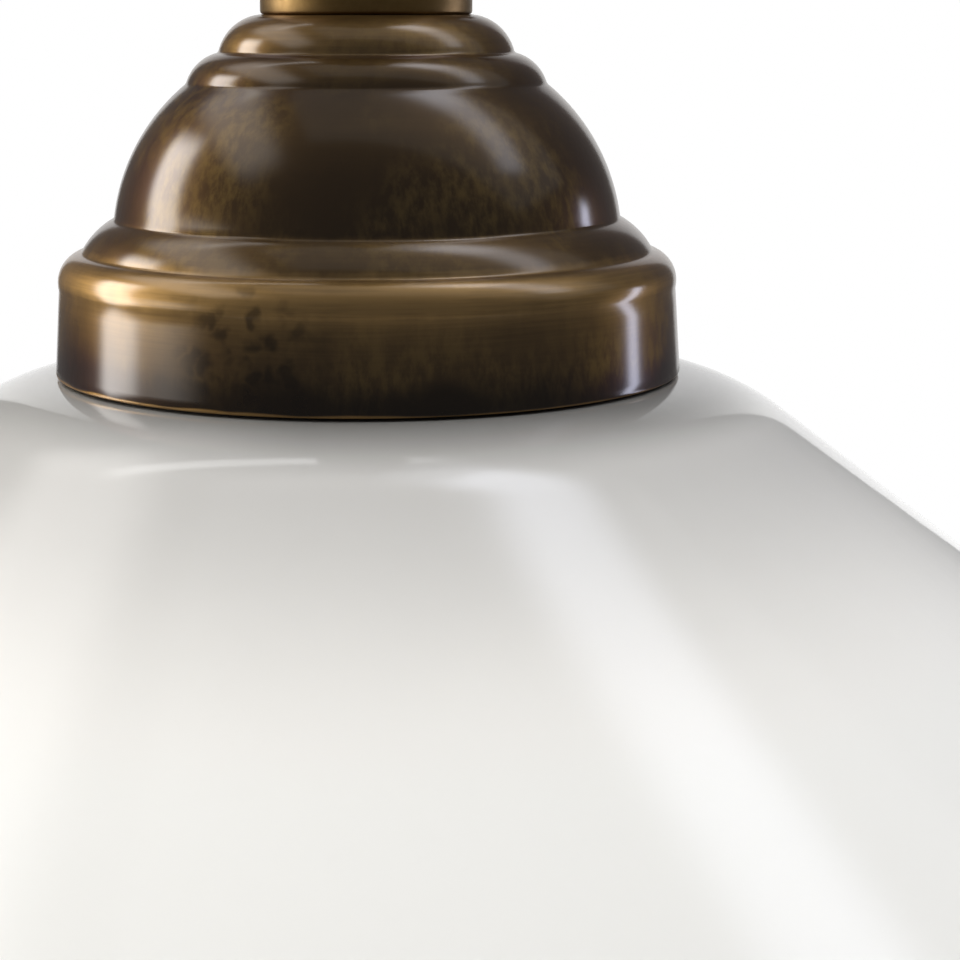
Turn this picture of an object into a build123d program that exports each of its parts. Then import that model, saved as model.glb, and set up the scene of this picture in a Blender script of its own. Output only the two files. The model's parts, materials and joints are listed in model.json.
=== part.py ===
from build123d import *
from math import cos, radians, sin, sqrt, tan
import os

os.makedirs("parts", exist_ok=True)

# A wall lamp: a swan-neck brass arm carries a tilting head with a stepped brass cap and an opal glass shade.
# Millimetres, +Z up. The wall is the plane Y = 0 and the lamp stands out from it along -Y.
# The origin is the centre of the rosette on the wall.

# Sheet, clearances and the M10 hollow thread that runs through the lamp
SHEET = 1.2
FIT = 0.05
HOLE_PLAY = 0.3
FACE_PLAY = 0.05
THREAD_R = 5.0
THREAD_BORE_R = 3.5
THREAD_HOLD = 12.0
NUT_FLATS = 14.0
NUT_T = 4.0
TOOTH_WASHER_R = 9.0
TOOTH_WASHER_T = 0.8
TOOTH_COUNT = 12
TOOTH_DEPTH = 1.2

# Mounting plate on the wall
PLATE_R = 47.0
PLATE_T = 2.0
WALL_SLOT_SPACING = 60.0
WALL_SLOT_W = 5.0
WALL_SLOT_TRAVEL = 7.0
CABLE_HOLE_R = 6.5
CABLE_HOLE_Z = 13.0
STUD_R = 2.0
STUD_X = 43.0
CAP_NUT_R = 4.2
CAP_NUT_H = 4.0
EARTH_SCREW_X = 24.0
EARTH_SCREW_Z = 12.0
EARTH_HEAD_R = 3.6
EARTH_HEAD_T = 2.4
EARTH_WASHER_R = 4.6
EARTH_WASHER_T = 0.8
DRIVER_SLOT_W = 0.9
DRIVER_SLOT_DEPTH = 0.9

# Rosette: a cascade like that of the cap
ROSETTE_R = 57.0
ROSETTE_RIM_H = 9.0
ROSETTE_SHOULDER_W = 5.0
ROSETTE_SHOULDER_H = 5.0
ROSETTE_LAND_W = 18.0
ROSETTE_STEP_W = 4.0
ROSETTE_STEP_H = 4.0
ROSETTE_BELL_W = 14.0
ROSETTE_BELL_H = 18.0
ROSETTE_BELL_BULGE = 3.0

# Terminal block in the rosette
BLOCK_L = 27.0
BLOCK_W = 16.0
BLOCK_H = 12.0
BLOCK_Z = -13.0
BLOCK_CLAMP_D = 6.0
TERMINAL_PITCH = 8.0
CLAMP_R = 2.0
CLAMP_BORE_R = 1.35
CLAMP_L = 14.0
CLAMP_SCREW_R = 1.3
CLAMP_SCREW_Z = 4.5
CLAMP_SCREW_SINK = 1.0

# Swan-neck arm
REACH = 210.0
ARM_R = 7.0
ARM_COLLAR_R = 14.0
ARM_COLLAR_TIP_R = 9.5
ARM_COLLAR_H = 10.0
ARM_COLLAR_SEAT = 2.0
RISE_ANGLE = 60.0
RISE_BEND_R = 40.0
RISE_RUN = 14.0
ARCH_R = 46.0
ARCH_TOP_RUN = 2.0
ARM_LAST_RUN = 22.0
ARM_END_COLLAR_R = 9.5
ARM_END_COLLAR_H = 9.0

# Flex and its cores
FLEX_R = 2.8
FLEX_TAIL = 3.0
CORE_R = 0.8
CORE_BEND_R = 2.0
CORE_SPREAD = 1.8
CORE_LEAD = 4.0
NIPPLE_INSIDE = 16.0

# Tilting joint: two hollow halves side by side on one screw
SWIVEL_R = 14.0
SWIVEL_HALF_T = 9.0
SWIVEL_END_WALL = 1.8
SWIVEL_RIM_W = 3.5
SWIVEL_BOSS_R = 4.0
SWIVEL_STEM_R = 8.0
SWIVEL_STEM_END = 27.0
SWIVEL_STEM_GAP = 0.6
SWIVEL_SOCKET = 10.0
SWIVEL_WIRE_R = 2.9
SWIVEL_WIRE_X = 3.9
FRICTION_WASHER_T = 0.5
FRICTION_WASHER_MARGIN = 0.3
PIVOT_SCREW_R = 2.0
PIVOT_HEAD_R = 4.2
PIVOT_HEAD_T = 2.8
SPRING_WASHER_R = 5.0
SPRING_WASHER_T = 0.8
THUMB_NUT_R = 8.0
THUMB_NUT_T = 6.0
THUMB_NUT_GRIPS = 20
THUMB_NUT_GRIP_R = 0.7
PIVOT_SCREW_PROUD = 0.6

# Neck and stepped cap, from the neck down to the rim
NECK_R = 15.0
NECK_H = 22.0
NECK_TAPER_H = 5.0
NECK_TOP_R = 9.0
RING_1_W = 6.0
RING_1_H = 5.3
RING_1_BULGE = 1.3
RING_2_W = 4.6
RING_2_H = 4.3
RING_2_BULGE = 0.87
BELL_W = 10.6
BELL_H = 18.9
BELL_BULGE = 2.1
STEP_W = 4.7
STEP_H = 4.6
STEP_BULGE = 0.5
SHOULDER_W = 3.3
SHOULDER_H = 5.2
SHOULDER_BULGE = 1.3
RIM_FLARE = 0.8
RIM_H = 12.1

# Opal glass shade
GLASS_R = 125.0
GLASS_T = 3.5
GLASS_HOLE_R = 21.0
GLASS_FLAT_R = 36.0
GLASS_FLAT_BLEND = 12.0
GLASS_SHOULDER_R = 53.6
GLASS_SHOULDER_SLOPE = 5.5
GLASS_SHOULDER_BLEND = 31.0
GLASS_CONE_SLOPE = 37.35
GLASS_LIP_H = 17.0
GLASS_LIP_BLEND = 14.0
GLASS_EDGE_ROUND = 1.2
RIM_TO_GLASS = 0.35

# Lamp holder for an E27 bulb, with the ring that holds the glass
GASKET_T = 1.0
GASKET_R = 26.0
FLANGE_R = 27.0
FLANGE_T = 2.5
SKIRT_R = 19.75
SKIRT_WALL = 2.0
SKIRT_L = 22.0
SKIRT_LEDGE = 2.5
DOME_R = 20.0
DOME_TAPER_H = 8.0
HUB_R = 9.0
HUB_H = 10.0
HUB_TO_NUT = 0.6
CORE_ABOVE_FLANGE = 11.0
CORE_FLOOR_T = 7.0
CORE_PLAY = 0.15
BULB_THREAD_R = 13.1
SCREW_SHELL_T = 0.5
CONTACT_PLATE_R = 5.0
CONTACT_PLATE_T = 0.6
CONTACT_BUMP_R = 2.5
CONTACT_BUMP_H = 1.2
HOLDER_TERMINAL_X = 9.0
HOLDER_TERMINAL_L = 6.0
HOLDER_TERMINAL_H = 5.0
HOLDER_SCREW_R = 1.6
HOLDER_SCREW_HEAD_T = 1.2
SHADE_RING_R = 28.0
SHADE_RING_SLEEVE_R = 23.5
SHADE_RING_FLANGE_T = 2.5
SHADE_RING_H = 8.0
SHADE_RING_GRIPS = 12
SHADE_RING_GRIP_R = 2.2

# Small globe bulb
BULB_R = 22.5
BULB_GLASS_T = 1.0
BULB_NECK_R = 12.9
BULB_CAP_T = 0.5
BULB_CAP_H = 23.0
BULB_INSULATOR_H = 3.0
BULB_TIP_R = 4.5
BULB_TIP_H = 1.2
BULB_CENTRE_DROP = 23.0
BULB_SHOULDER_DROP = 9.0

# Radii and heights of the cap, measured from the lower edge of its rim
CAP_R1 = NECK_R + RING_1_W
CAP_R2 = CAP_R1 + RING_2_W
CAP_R3 = CAP_R2 + BELL_W
CAP_R4 = CAP_R3 + STEP_W
CAP_R5 = CAP_R4 + SHOULDER_W
RIM_R = CAP_R5 + RIM_FLARE
CAP_Z4 = RIM_H + SHOULDER_H
CAP_Z3 = CAP_Z4 + STEP_H
CAP_Z2 = CAP_Z3 + BELL_H
CAP_Z1 = CAP_Z2 + RING_2_H
CAP_TOP = CAP_Z1 + RING_1_H
NECK_TOP = CAP_TOP + NECK_H + NECK_TAPER_H
THREAD_HOLE_R = THREAD_R + FIT

# Heights of the glass and the holder, measured from the same edge
SHOULDER_RUN = GLASS_SHOULDER_R - (RIM_R - SHEET)
GLASS_SHOULDER_Z = -RIM_TO_GLASS - SHOULDER_RUN * tan(radians(GLASS_SHOULDER_SLOPE))
GLASS_TOP = GLASS_SHOULDER_Z + (GLASS_SHOULDER_R - GLASS_FLAT_R) * tan(radians(GLASS_SHOULDER_SLOPE))
GLASS_CORNER_Z = GLASS_SHOULDER_Z - (GLASS_R - GLASS_SHOULDER_R) * tan(radians(GLASS_CONE_SLOPE))
FLANGE_Z = GLASS_TOP + GASKET_T
FLANGE_TOP = FLANGE_Z + FLANGE_T
SKIRT_BOTTOM = FLANGE_Z - SKIRT_L
SKIRT_BORE_R = SKIRT_R - SKIRT_WALL
LOWER_GASKET_Z = GLASS_TOP - GLASS_T - GASKET_T
CAP_NUT_Z = CAP_TOP - SHEET - TOOTH_WASHER_T - NUT_T
HUB_TOP = CAP_NUT_Z - HUB_TO_NUT
HUB_BOTTOM = HUB_TOP - HUB_H
CORE_BOTTOM = SKIRT_BOTTOM + SKIRT_LEDGE
CORE_TOP = FLANGE_TOP + CORE_ABOVE_FLANGE
CORE_FLOOR = CORE_TOP - CORE_FLOOR_T
SHELL_BORE_R = BULB_THREAD_R + FIT
SHELL_R = SHELL_BORE_R + SCREW_SHELL_T
CORE_R_OUT = SKIRT_BORE_R - CORE_PLAY
CORE_BORE_R = SHELL_R + FIT
BULB_TIP_Z = CORE_FLOOR - CONTACT_PLATE_T - CONTACT_BUMP_H
BULB_CAP_TOP = BULB_TIP_Z - BULB_TIP_H - BULB_INSULATOR_H
BULB_CAP_BOTTOM = BULB_CAP_TOP - BULB_CAP_H

# Distances out from the wall
LAND_D = ROSETTE_RIM_H + ROSETTE_SHOULDER_H
ROSETTE_TOP_D = LAND_D + ROSETTE_STEP_H + ROSETTE_BELL_H
ROSETTE_LAND_R = ROSETTE_R - ROSETTE_SHOULDER_W
ROSETTE_STEP_R = ROSETTE_LAND_R - ROSETTE_LAND_W
ROSETTE_BELL_R = ROSETTE_STEP_R - ROSETTE_STEP_W
ROSETTE_TOP_R = ROSETTE_BELL_R - ROSETTE_BELL_W
ARM_NUT_D = ROSETTE_TOP_D - SHEET - TOOTH_WASHER_T - NUT_T
NIPPLE_START_D = ROSETTE_TOP_D - NIPPLE_INSIDE
ARM_START_D = ROSETTE_TOP_D + ARM_COLLAR_H - ARM_COLLAR_SEAT
FLEX_START_D = NIPPLE_START_D - FLEX_TAIL

# Corners of the arm's centre line, as distance from the wall and height
RISE_LENGTH = RISE_RUN + (RISE_BEND_R + ARCH_R) * tan(radians(RISE_ANGLE / 2))
ARCH_CORNER_D = REACH - ARCH_R * (1 + tan(radians(RISE_ANGLE / 2))) - ARCH_TOP_RUN
RISE_CORNER_D = ARCH_CORNER_D - RISE_LENGTH * cos(radians(RISE_ANGLE))
ARCH_TOP_Z = RISE_LENGTH * sin(radians(RISE_ANGLE))
ARM_END_Z = ARCH_TOP_Z - ARCH_R - ARM_LAST_RUN
PIVOT_Z = ARM_END_Z - SWIVEL_STEM_END
RIM_Z = PIVOT_Z - SWIVEL_STEM_END - NECK_TOP

# Planes and axes that the pieces are drawn on
HEAD_SECTION = Plane(origin=(0, -REACH, RIM_Z), x_dir=(1, 0, 0), z_dir=(0, -1, 0))
HEAD_AXIS = Axis((0, -REACH, RIM_Z), (0, 0, 1))
WALL_SECTION = Plane(origin=(0, 0, 0), x_dir=(1, 0, 0), z_dir=(0, 0, -1))


def head_level(height):
    """Level plane across the head at a height above the rim's lower edge."""
    return Plane(origin=(0, -REACH, RIM_Z + height))


def wall_level(distance):
    """Plane parallel to the wall, facing away from it."""
    return Plane(origin=(0, -distance, 0), x_dir=(1, 0, 0), z_dir=(0, -1, 0))


def pivot_level(offset, facing):
    """Plane square to the pivot screw, facing +X or -X."""
    return Plane(origin=(offset, -REACH, PIVOT_Z), x_dir=(0, 1, 0), z_dir=(facing, 0, 0))


def finish(piece, name):
    """Label a finished piece and write it."""
    piece.part.label = name
    export_step(piece.part, f"parts/{name}.step")


def tube(plane, outer, bore, length):
    """Straight tube, ring or washer that stands on a plane, or a rod where the bore is zero."""
    with BuildPart() as piece:
        with BuildSketch(plane):
            Circle(outer)
            if bore > 0:
                Circle(bore, mode=Mode.SUBTRACT)
        extrude(amount=length)
    return piece


def turned(section, axis, corners):
    """Body of revolution from the straight-sided half section given by its corners."""
    with BuildPart() as piece:
        with BuildSketch(section):
            with BuildLine():
                Polyline(*corners, close=True)
            make_face()
        revolve(axis=axis)
    return piece


def lock_nut(plane):
    """Hexagon nut on the hollow thread."""
    with BuildPart() as piece:
        with BuildSketch(plane):
            RegularPolygon(NUT_FLATS / 2, 6, major_radius=False)
            Circle(THREAD_HOLE_R, mode=Mode.SUBTRACT)
        extrude(amount=NUT_T)
    return piece


def lock_washer(plane):
    """Toothed lock washer on the hollow thread."""
    with BuildPart() as piece:
        with BuildSketch(plane):
            Circle(TOOTH_WASHER_R)
            Circle(THREAD_HOLE_R, mode=Mode.SUBTRACT)
            with PolarLocations(TOOTH_WASHER_R, TOOTH_COUNT):
                Rectangle(2 * TOOTH_DEPTH, TOOTH_DEPTH, mode=Mode.SUBTRACT)
        extrude(amount=TOOTH_WASHER_T)
    return piece


def round_down(inner, outer):
    """Quarter-round of a spun cascade, from its upper inner end to its lower outer end."""
    inner = Vector(inner)
    outer = Vector(outer)
    return EllipticalCenterArc(
        (inner.X, outer.Y), outer.X - inner.X, inner.Y - outer.Y, arc_size=90
    )


def swept(corners, radii, radius, bore=0.0):
    """Round bar or tube along straight runs joined by tangent bends."""
    with BuildPart() as piece:
        with BuildLine() as route:
            FilletPolyline(*corners, radius=radii)
        with BuildSketch(Plane(origin=route.line @ 0, z_dir=route.line % 0)):
            Circle(radius)
            if bore > 0:
                Circle(bore, mode=Mode.SUBTRACT)
        sweep(path=route.line)
    return piece


def arm_corners(start_d, end_z):
    """Centre line of the arm, from a distance out from the wall to a height at its end."""
    return [
        (0, -start_d, 0),
        (0, -RISE_CORNER_D, 0),
        (0, -ARCH_CORNER_D, ARCH_TOP_Z),
        (0, -REACH, ARCH_TOP_Z),
        (0, -REACH, end_z),
    ]


ARM_BENDS = [RISE_BEND_R, ARCH_R, ARCH_R]


# Mounting plate: a steel disc with two slots for wall screws, a cable hole and two tapped holes
with BuildPart() as mounting_plate:
    with BuildSketch(wall_level(0)):
        Circle(PLATE_R)
        with GridLocations(0, WALL_SLOT_SPACING, 1, 2):
            SlotCenterToCenter(WALL_SLOT_TRAVEL, WALL_SLOT_W, rotation=90, mode=Mode.SUBTRACT)
        with Locations((0, CABLE_HOLE_Z)):
            Circle(CABLE_HOLE_R, mode=Mode.SUBTRACT)
        with GridLocations(2 * STUD_X, 0, 2, 1):
            Circle(STUD_R, mode=Mode.SUBTRACT)
        with Locations((EARTH_SCREW_X, EARTH_SCREW_Z)):
            Circle(STUD_R, mode=Mode.SUBTRACT)
    extrude(amount=PLATE_T)
finish(mounting_plate, "mounting_plate")

# Studs of the mounting plate, which carry the rosette
with BuildPart() as rosette_studs:
    with BuildSketch(wall_level(0)):
        with GridLocations(2 * STUD_X, 0, 2, 1):
            Circle(STUD_R)
    extrude(amount=LAND_D + CAP_NUT_H)
finish(rosette_studs, "rosette_studs")

# Earth screw on the mounting plate
with BuildPart() as earth_screw:
    with BuildSketch(wall_level(0)):
        with Locations((EARTH_SCREW_X, EARTH_SCREW_Z)):
            Circle(STUD_R)
    extrude(amount=PLATE_T + EARTH_WASHER_T)
    with BuildSketch(wall_level(PLATE_T)):
        with Locations((EARTH_SCREW_X, EARTH_SCREW_Z)):
            Circle(EARTH_WASHER_R)
    extrude(amount=EARTH_WASHER_T)
    with BuildSketch(wall_level(PLATE_T + EARTH_WASHER_T)):
        with Locations((EARTH_SCREW_X, EARTH_SCREW_Z)):
            Circle(EARTH_HEAD_R)
    extrude(amount=EARTH_HEAD_T)
    with BuildSketch(wall_level(PLATE_T + EARTH_WASHER_T + EARTH_HEAD_T)):
        with Locations((EARTH_SCREW_X, EARTH_SCREW_Z)):
            Rectangle(2 * EARTH_HEAD_R, DRIVER_SLOT_W)
    extrude(amount=-DRIVER_SLOT_DEPTH, mode=Mode.SUBTRACT)
finish(earth_screw, "earth_screw")


def rosette_line(inset):
    """Half section of the rosette, moved in and back by an inset for its inner side."""
    rim = ROSETTE_R - inset
    rim_foot = Line((rim, 0), (rim, ROSETTE_RIM_H - inset))
    land_out = (ROSETTE_LAND_R - inset, LAND_D - inset)
    round_down(land_out, rim_foot @ 1)
    land = Line(land_out, (ROSETTE_STEP_R - inset, LAND_D - inset))
    bell_foot = (ROSETTE_BELL_R - inset, LAND_D + ROSETTE_STEP_H - inset)
    round_down(bell_foot, land @ 1)
    bell_top = (ROSETTE_TOP_R - inset, ROSETTE_TOP_D - inset)
    SagittaArc(bell_foot, bell_top, -ROSETTE_BELL_BULGE)
    top = Line(bell_top, (THREAD_HOLE_R, ROSETTE_TOP_D - inset))
    return rim_foot @ 0, top @ 1


# Rosette: spun brass cover on the wall
with BuildPart() as rosette:
    with BuildSketch(WALL_SECTION):
        with BuildLine():
            outer_foot, outer_end = rosette_line(0)
            inner_foot, inner_end = rosette_line(SHEET)
            Line(outer_end, inner_end)
            Line(outer_foot, inner_foot)
        make_face()
    revolve(axis=Axis.Y)
    with BuildSketch(wall_level(0)):
        with GridLocations(2 * STUD_X, 0, 2, 1):
            Circle(STUD_R + HOLE_PLAY)
    extrude(amount=LAND_D, mode=Mode.SUBTRACT)
finish(rosette, "rosette")

# Domed nuts that hold the rosette on its studs
with BuildPart() as rosette_cap_nuts:
    with BuildSketch(wall_level(LAND_D)):
        with GridLocations(2 * STUD_X, 0, 2, 1):
            Circle(CAP_NUT_R)
    extrude(amount=CAP_NUT_H)
    with Locations(wall_level(LAND_D + CAP_NUT_H)):
        with GridLocations(2 * STUD_X, 0, 2, 1):
            Sphere(CAP_NUT_R, arc_size1=0, align=(Align.CENTER, Align.CENTER, Align.MIN))
    with BuildSketch(wall_level(LAND_D)):
        with GridLocations(2 * STUD_X, 0, 2, 1):
            Circle(STUD_R)
    extrude(amount=CAP_NUT_H, mode=Mode.SUBTRACT)
finish(rosette_cap_nuts, "rosette_cap_nuts")

# Three-way terminal block on the mounting plate
CLAMP_D = PLATE_T + BLOCK_CLAMP_D
BLOCK_FACE_D = PLATE_T + BLOCK_H


def block_end(height):
    """Plane across the terminal block, facing up, with its origin at the middle clamp."""
    return Plane(origin=(0, -CLAMP_D, BLOCK_Z + height), x_dir=(1, 0, 0), z_dir=(0, 0, 1))


with BuildPart() as terminal_block:
    with BuildSketch(wall_level(PLATE_T)):
        with Locations((0, BLOCK_Z)):
            Rectangle(BLOCK_L, BLOCK_W)
    extrude(amount=BLOCK_H)
    with BuildSketch(block_end(-BLOCK_W / 2)):
        with GridLocations(TERMINAL_PITCH, 0, 3, 1):
            Circle(CLAMP_R + FIT)
    extrude(amount=BLOCK_W, mode=Mode.SUBTRACT)
    with BuildSketch(wall_level(BLOCK_FACE_D)):
        with Locations((0, BLOCK_Z)):
            with GridLocations(TERMINAL_PITCH, 2 * CLAMP_SCREW_Z, 3, 2):
                Circle(CLAMP_SCREW_R + FIT)
    extrude(amount=CLAMP_D - BLOCK_FACE_D, mode=Mode.SUBTRACT)
finish(terminal_block, "terminal_block")

# Brass clamp tubes inside the block
with BuildPart() as terminal_clamps:
    with BuildSketch(block_end(-CLAMP_L / 2)):
        with GridLocations(TERMINAL_PITCH, 0, 3, 1):
            Circle(CLAMP_R)
            Circle(CLAMP_BORE_R, mode=Mode.SUBTRACT)
    extrude(amount=CLAMP_L)
finish(terminal_clamps, "terminal_clamps")

# Clamp screws, which end on the clamp tubes
CLAMP_SCREW_L = BLOCK_FACE_D - CLAMP_SCREW_SINK - (CLAMP_D + CLAMP_R + FACE_PLAY)
with BuildPart() as terminal_screws:
    with BuildSketch(wall_level(BLOCK_FACE_D - CLAMP_SCREW_SINK)):
        with Locations((0, BLOCK_Z)):
            with GridLocations(TERMINAL_PITCH, 2 * CLAMP_SCREW_Z, 3, 2):
                Circle(CLAMP_SCREW_R)
    extrude(amount=-CLAMP_SCREW_L)
finish(terminal_screws, "terminal_screws")

# Collar that seats the arm on the rosette
ARM_COLLAR_TIP_D = ROSETTE_TOP_D + ARM_COLLAR_H
with BuildPart() as arm_collar:
    with BuildSketch(WALL_SECTION):
        with BuildLine():
            foot = Line((ARM_COLLAR_R, ROSETTE_TOP_D), (ARM_COLLAR_R, ROSETTE_TOP_D + ARM_COLLAR_SEAT))
            round_down((ARM_COLLAR_TIP_R, ARM_COLLAR_TIP_D), foot @ 1)
            Polyline(
                (ARM_COLLAR_TIP_R, ARM_COLLAR_TIP_D),
                (ARM_R + FIT, ARM_COLLAR_TIP_D),
                (ARM_R + FIT, ARM_START_D),
                (THREAD_HOLE_R, ARM_START_D),
                (THREAD_HOLE_R, ROSETTE_TOP_D),
                foot @ 0,
            )
        make_face()
    revolve(axis=Axis.Y)
finish(arm_collar, "arm_collar")

# Hollow thread, washer and nut that clamp the arm, its collar and the rosette
arm_nipple = tube(
    wall_level(NIPPLE_START_D), THREAD_R, THREAD_BORE_R, ARM_START_D + THREAD_HOLD - NIPPLE_START_D
)
finish(arm_nipple, "arm_nipple")
finish(lock_washer(wall_level(ARM_NUT_D + NUT_T)), "arm_lock_washer")
finish(lock_nut(wall_level(ARM_NUT_D)), "arm_lock_nut")

# Swan-neck arm
arm_tube = swept(arm_corners(ARM_START_D, ARM_END_Z), ARM_BENDS, ARM_R, THREAD_HOLE_R)
finish(arm_tube, "arm_tube")

# Flex inside the arm, from the rosette to the tilting joint
FLEX_END_Z = ARM_END_Z - SWIVEL_SOCKET + HOLE_PLAY
finish(swept(arm_corners(FLEX_START_D, FLEX_END_Z), ARM_BENDS, FLEX_R), "arm_flex")

# Cores of the flex, each into its clamp tube
CORE_NAMES = ["live_core", "earth_core", "neutral_core"]
for place, core_name in zip((-1, 0, 1), CORE_NAMES):
    core_corners = [(place * CORE_SPREAD, -FLEX_START_D, 0)]
    if place != 0:
        core_corners.append((place * CORE_SPREAD, CORE_LEAD - FLEX_START_D, 0))
    core_corners.append((place * TERMINAL_PITCH, -CLAMP_D, 0))
    core_corners.append((place * TERMINAL_PITCH, -CLAMP_D, BLOCK_Z + CLAMP_SCREW_Z))
    finish(swept(core_corners, CORE_BEND_R, CORE_R), core_name)

# Collar over the end of the arm and the hollow thread inside it
arm_end_collar = tube(
    Plane(origin=(0, -REACH, ARM_END_Z)), ARM_END_COLLAR_R, ARM_R + FIT, ARM_END_COLLAR_H
)
finish(arm_end_collar, "arm_end_collar")
SWIVEL_NIPPLE_HOLD = SWIVEL_SOCKET - HOLE_PLAY
swivel_nipple = tube(
    Plane(origin=(0, -REACH, ARM_END_Z - SWIVEL_NIPPLE_HOLD)),
    THREAD_R,
    THREAD_BORE_R,
    SWIVEL_NIPPLE_HOLD + THREAD_HOLD,
)
finish(swivel_nipple, "swivel_nipple")

# Tilting joint
PARTING = FRICTION_WASHER_T / 2
STEM_FOOT = SWIVEL_R + SWIVEL_STEM_GAP


def swivel_half(side):
    """One half of the tilting joint: side 1 is fixed to the arm, side -1 to the head below it."""
    parting = pivot_level(side * PARTING, side)
    stem_foot = Plane(
        origin=(0, -REACH, PIVOT_Z + side * STEM_FOOT), x_dir=(1, 0, 0), z_dir=(0, 0, side)
    )
    stem_end = Plane(
        origin=(0, -REACH, PIVOT_Z + side * SWIVEL_STEM_END), x_dir=(1, 0, 0), z_dir=(0, 0, -side)
    )
    with BuildPart() as piece:
        with BuildSketch(parting):
            Circle(SWIVEL_R)
            with Locations((0, STEM_FOOT / 2)):
                Rectangle(2 * SWIVEL_STEM_R, STEM_FOOT)
        extrude(amount=SWIVEL_HALF_T)
        with BuildSketch(stem_foot):
            Circle(SWIVEL_STEM_R)
            with Locations((side * (PARTING + SWIVEL_HALF_T / 2), 0)):
                Rectangle(SWIVEL_HALF_T, 2 * SWIVEL_STEM_R)
        extrude(amount=SWIVEL_STEM_END - STEM_FOOT)
        with BuildSketch(parting):
            Circle(SWIVEL_R - SWIVEL_RIM_W)
            Circle(SWIVEL_BOSS_R, mode=Mode.SUBTRACT)
        extrude(amount=SWIVEL_HALF_T - SWIVEL_END_WALL, mode=Mode.SUBTRACT)
        with BuildSketch(parting):
            Circle(PIVOT_SCREW_R + FIT)
        extrude(amount=SWIVEL_HALF_T, mode=Mode.SUBTRACT)
        with BuildSketch(stem_end):
            Circle(THREAD_HOLE_R)
        extrude(amount=SWIVEL_SOCKET, mode=Mode.SUBTRACT)
        with BuildSketch(stem_end):
            with Locations((side * SWIVEL_WIRE_X, 0)):
                Circle(SWIVEL_WIRE_R)
        extrude(amount=SWIVEL_STEM_END - SWIVEL_R + SWIVEL_RIM_W + SWIVEL_WIRE_R, mode=Mode.SUBTRACT)
    return piece


finish(swivel_half(1), "swivel_upper")
finish(swivel_half(-1), "swivel_lower")

# Fibre washer between the halves
friction_washer = tube(
    pivot_level(PARTING, -1),
    SWIVEL_R - FRICTION_WASHER_MARGIN,
    SWIVEL_R - SWIVEL_RIM_W + FRICTION_WASHER_MARGIN,
    FRICTION_WASHER_T - FACE_PLAY,
)
finish(friction_washer, "friction_washer")

# Pivot screw, spring washer and knurled thumb nut
SWIVEL_FACE = PARTING + SWIVEL_HALF_T
SPRING_WASHER_X = SWIVEL_FACE + FACE_PLAY
THUMB_NUT_X = SPRING_WASHER_X + SPRING_WASHER_T + FACE_PLAY
with BuildPart() as pivot_screw:
    with BuildSketch(pivot_level(SWIVEL_FACE, -1)):
        Circle(PIVOT_SCREW_R)
    extrude(amount=SWIVEL_FACE + THUMB_NUT_X + THUMB_NUT_T + PIVOT_SCREW_PROUD)
    with BuildSketch(pivot_level(SWIVEL_FACE, 1)):
        Circle(PIVOT_HEAD_R)
    extrude(amount=PIVOT_HEAD_T)
    with BuildSketch(pivot_level(SWIVEL_FACE + PIVOT_HEAD_T, -1)):
        Rectangle(DRIVER_SLOT_W, 2 * PIVOT_HEAD_R)
    extrude(amount=DRIVER_SLOT_DEPTH, mode=Mode.SUBTRACT)
finish(pivot_screw, "pivot_screw")
spring_washer = tube(
    pivot_level(-SPRING_WASHER_X, -1), SPRING_WASHER_R, PIVOT_SCREW_R + FIT, SPRING_WASHER_T
)
finish(spring_washer, "spring_washer")
with BuildPart() as thumb_nut:
    with BuildSketch(pivot_level(-THUMB_NUT_X, -1)):
        Circle(THUMB_NUT_R)
        Circle(PIVOT_SCREW_R + FIT, mode=Mode.SUBTRACT)
        with PolarLocations(THUMB_NUT_R, THUMB_NUT_GRIPS):
            Circle(THUMB_NUT_GRIP_R, mode=Mode.SUBTRACT)
    extrude(amount=THUMB_NUT_T)
finish(thumb_nut, "thumb_nut")

# Neck sleeve between the tilting joint and the cap
neck_sleeve = turned(
    HEAD_SECTION,
    HEAD_AXIS,
    [
        (THREAD_HOLE_R, CAP_TOP),
        (NECK_R, CAP_TOP),
        (NECK_R, CAP_TOP + NECK_H),
        (NECK_TOP_R, NECK_TOP),
        (THREAD_HOLE_R, NECK_TOP),
    ],
)
finish(neck_sleeve, "neck_sleeve")


def cap_line(inset):
    """Half section of the cap, moved in and down by an inset for its inner side."""
    rim = Line((RIM_R - inset, 0), (CAP_R5 - inset, RIM_H - inset))
    shoulder_top = (CAP_R4 - inset, CAP_Z4 - inset)
    SagittaArc(rim @ 1, shoulder_top, -SHOULDER_BULGE)
    step_top = (CAP_R3 - inset, CAP_Z3 - inset)
    SagittaArc(shoulder_top, step_top, -STEP_BULGE)
    bell_top = (CAP_R2 - inset, CAP_Z2 - inset)
    SagittaArc(step_top, bell_top, -BELL_BULGE)
    ring_top = (CAP_R1 - inset, CAP_Z1 - inset)
    SagittaArc(bell_top, ring_top, -RING_2_BULGE)
    neck_foot = (NECK_R - inset, CAP_TOP - inset)
    SagittaArc(ring_top, neck_foot, -RING_1_BULGE)
    top = Line(neck_foot, (THREAD_HOLE_R, CAP_TOP - inset))
    return rim @ 0, top @ 1


# Stepped cap: spun brass, two rings over a bell, a step, a shoulder and a slightly flared rim
with BuildPart() as shade_cap:
    with BuildSketch(HEAD_SECTION):
        with BuildLine():
            outer_foot, outer_end = cap_line(0)
            inner_foot, inner_end = cap_line(SHEET)
            Line(outer_end, inner_end)
            Line(outer_foot, inner_foot)
        make_face()
    revolve(axis=HEAD_AXIS)
finish(shade_cap, "shade_cap")

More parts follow.
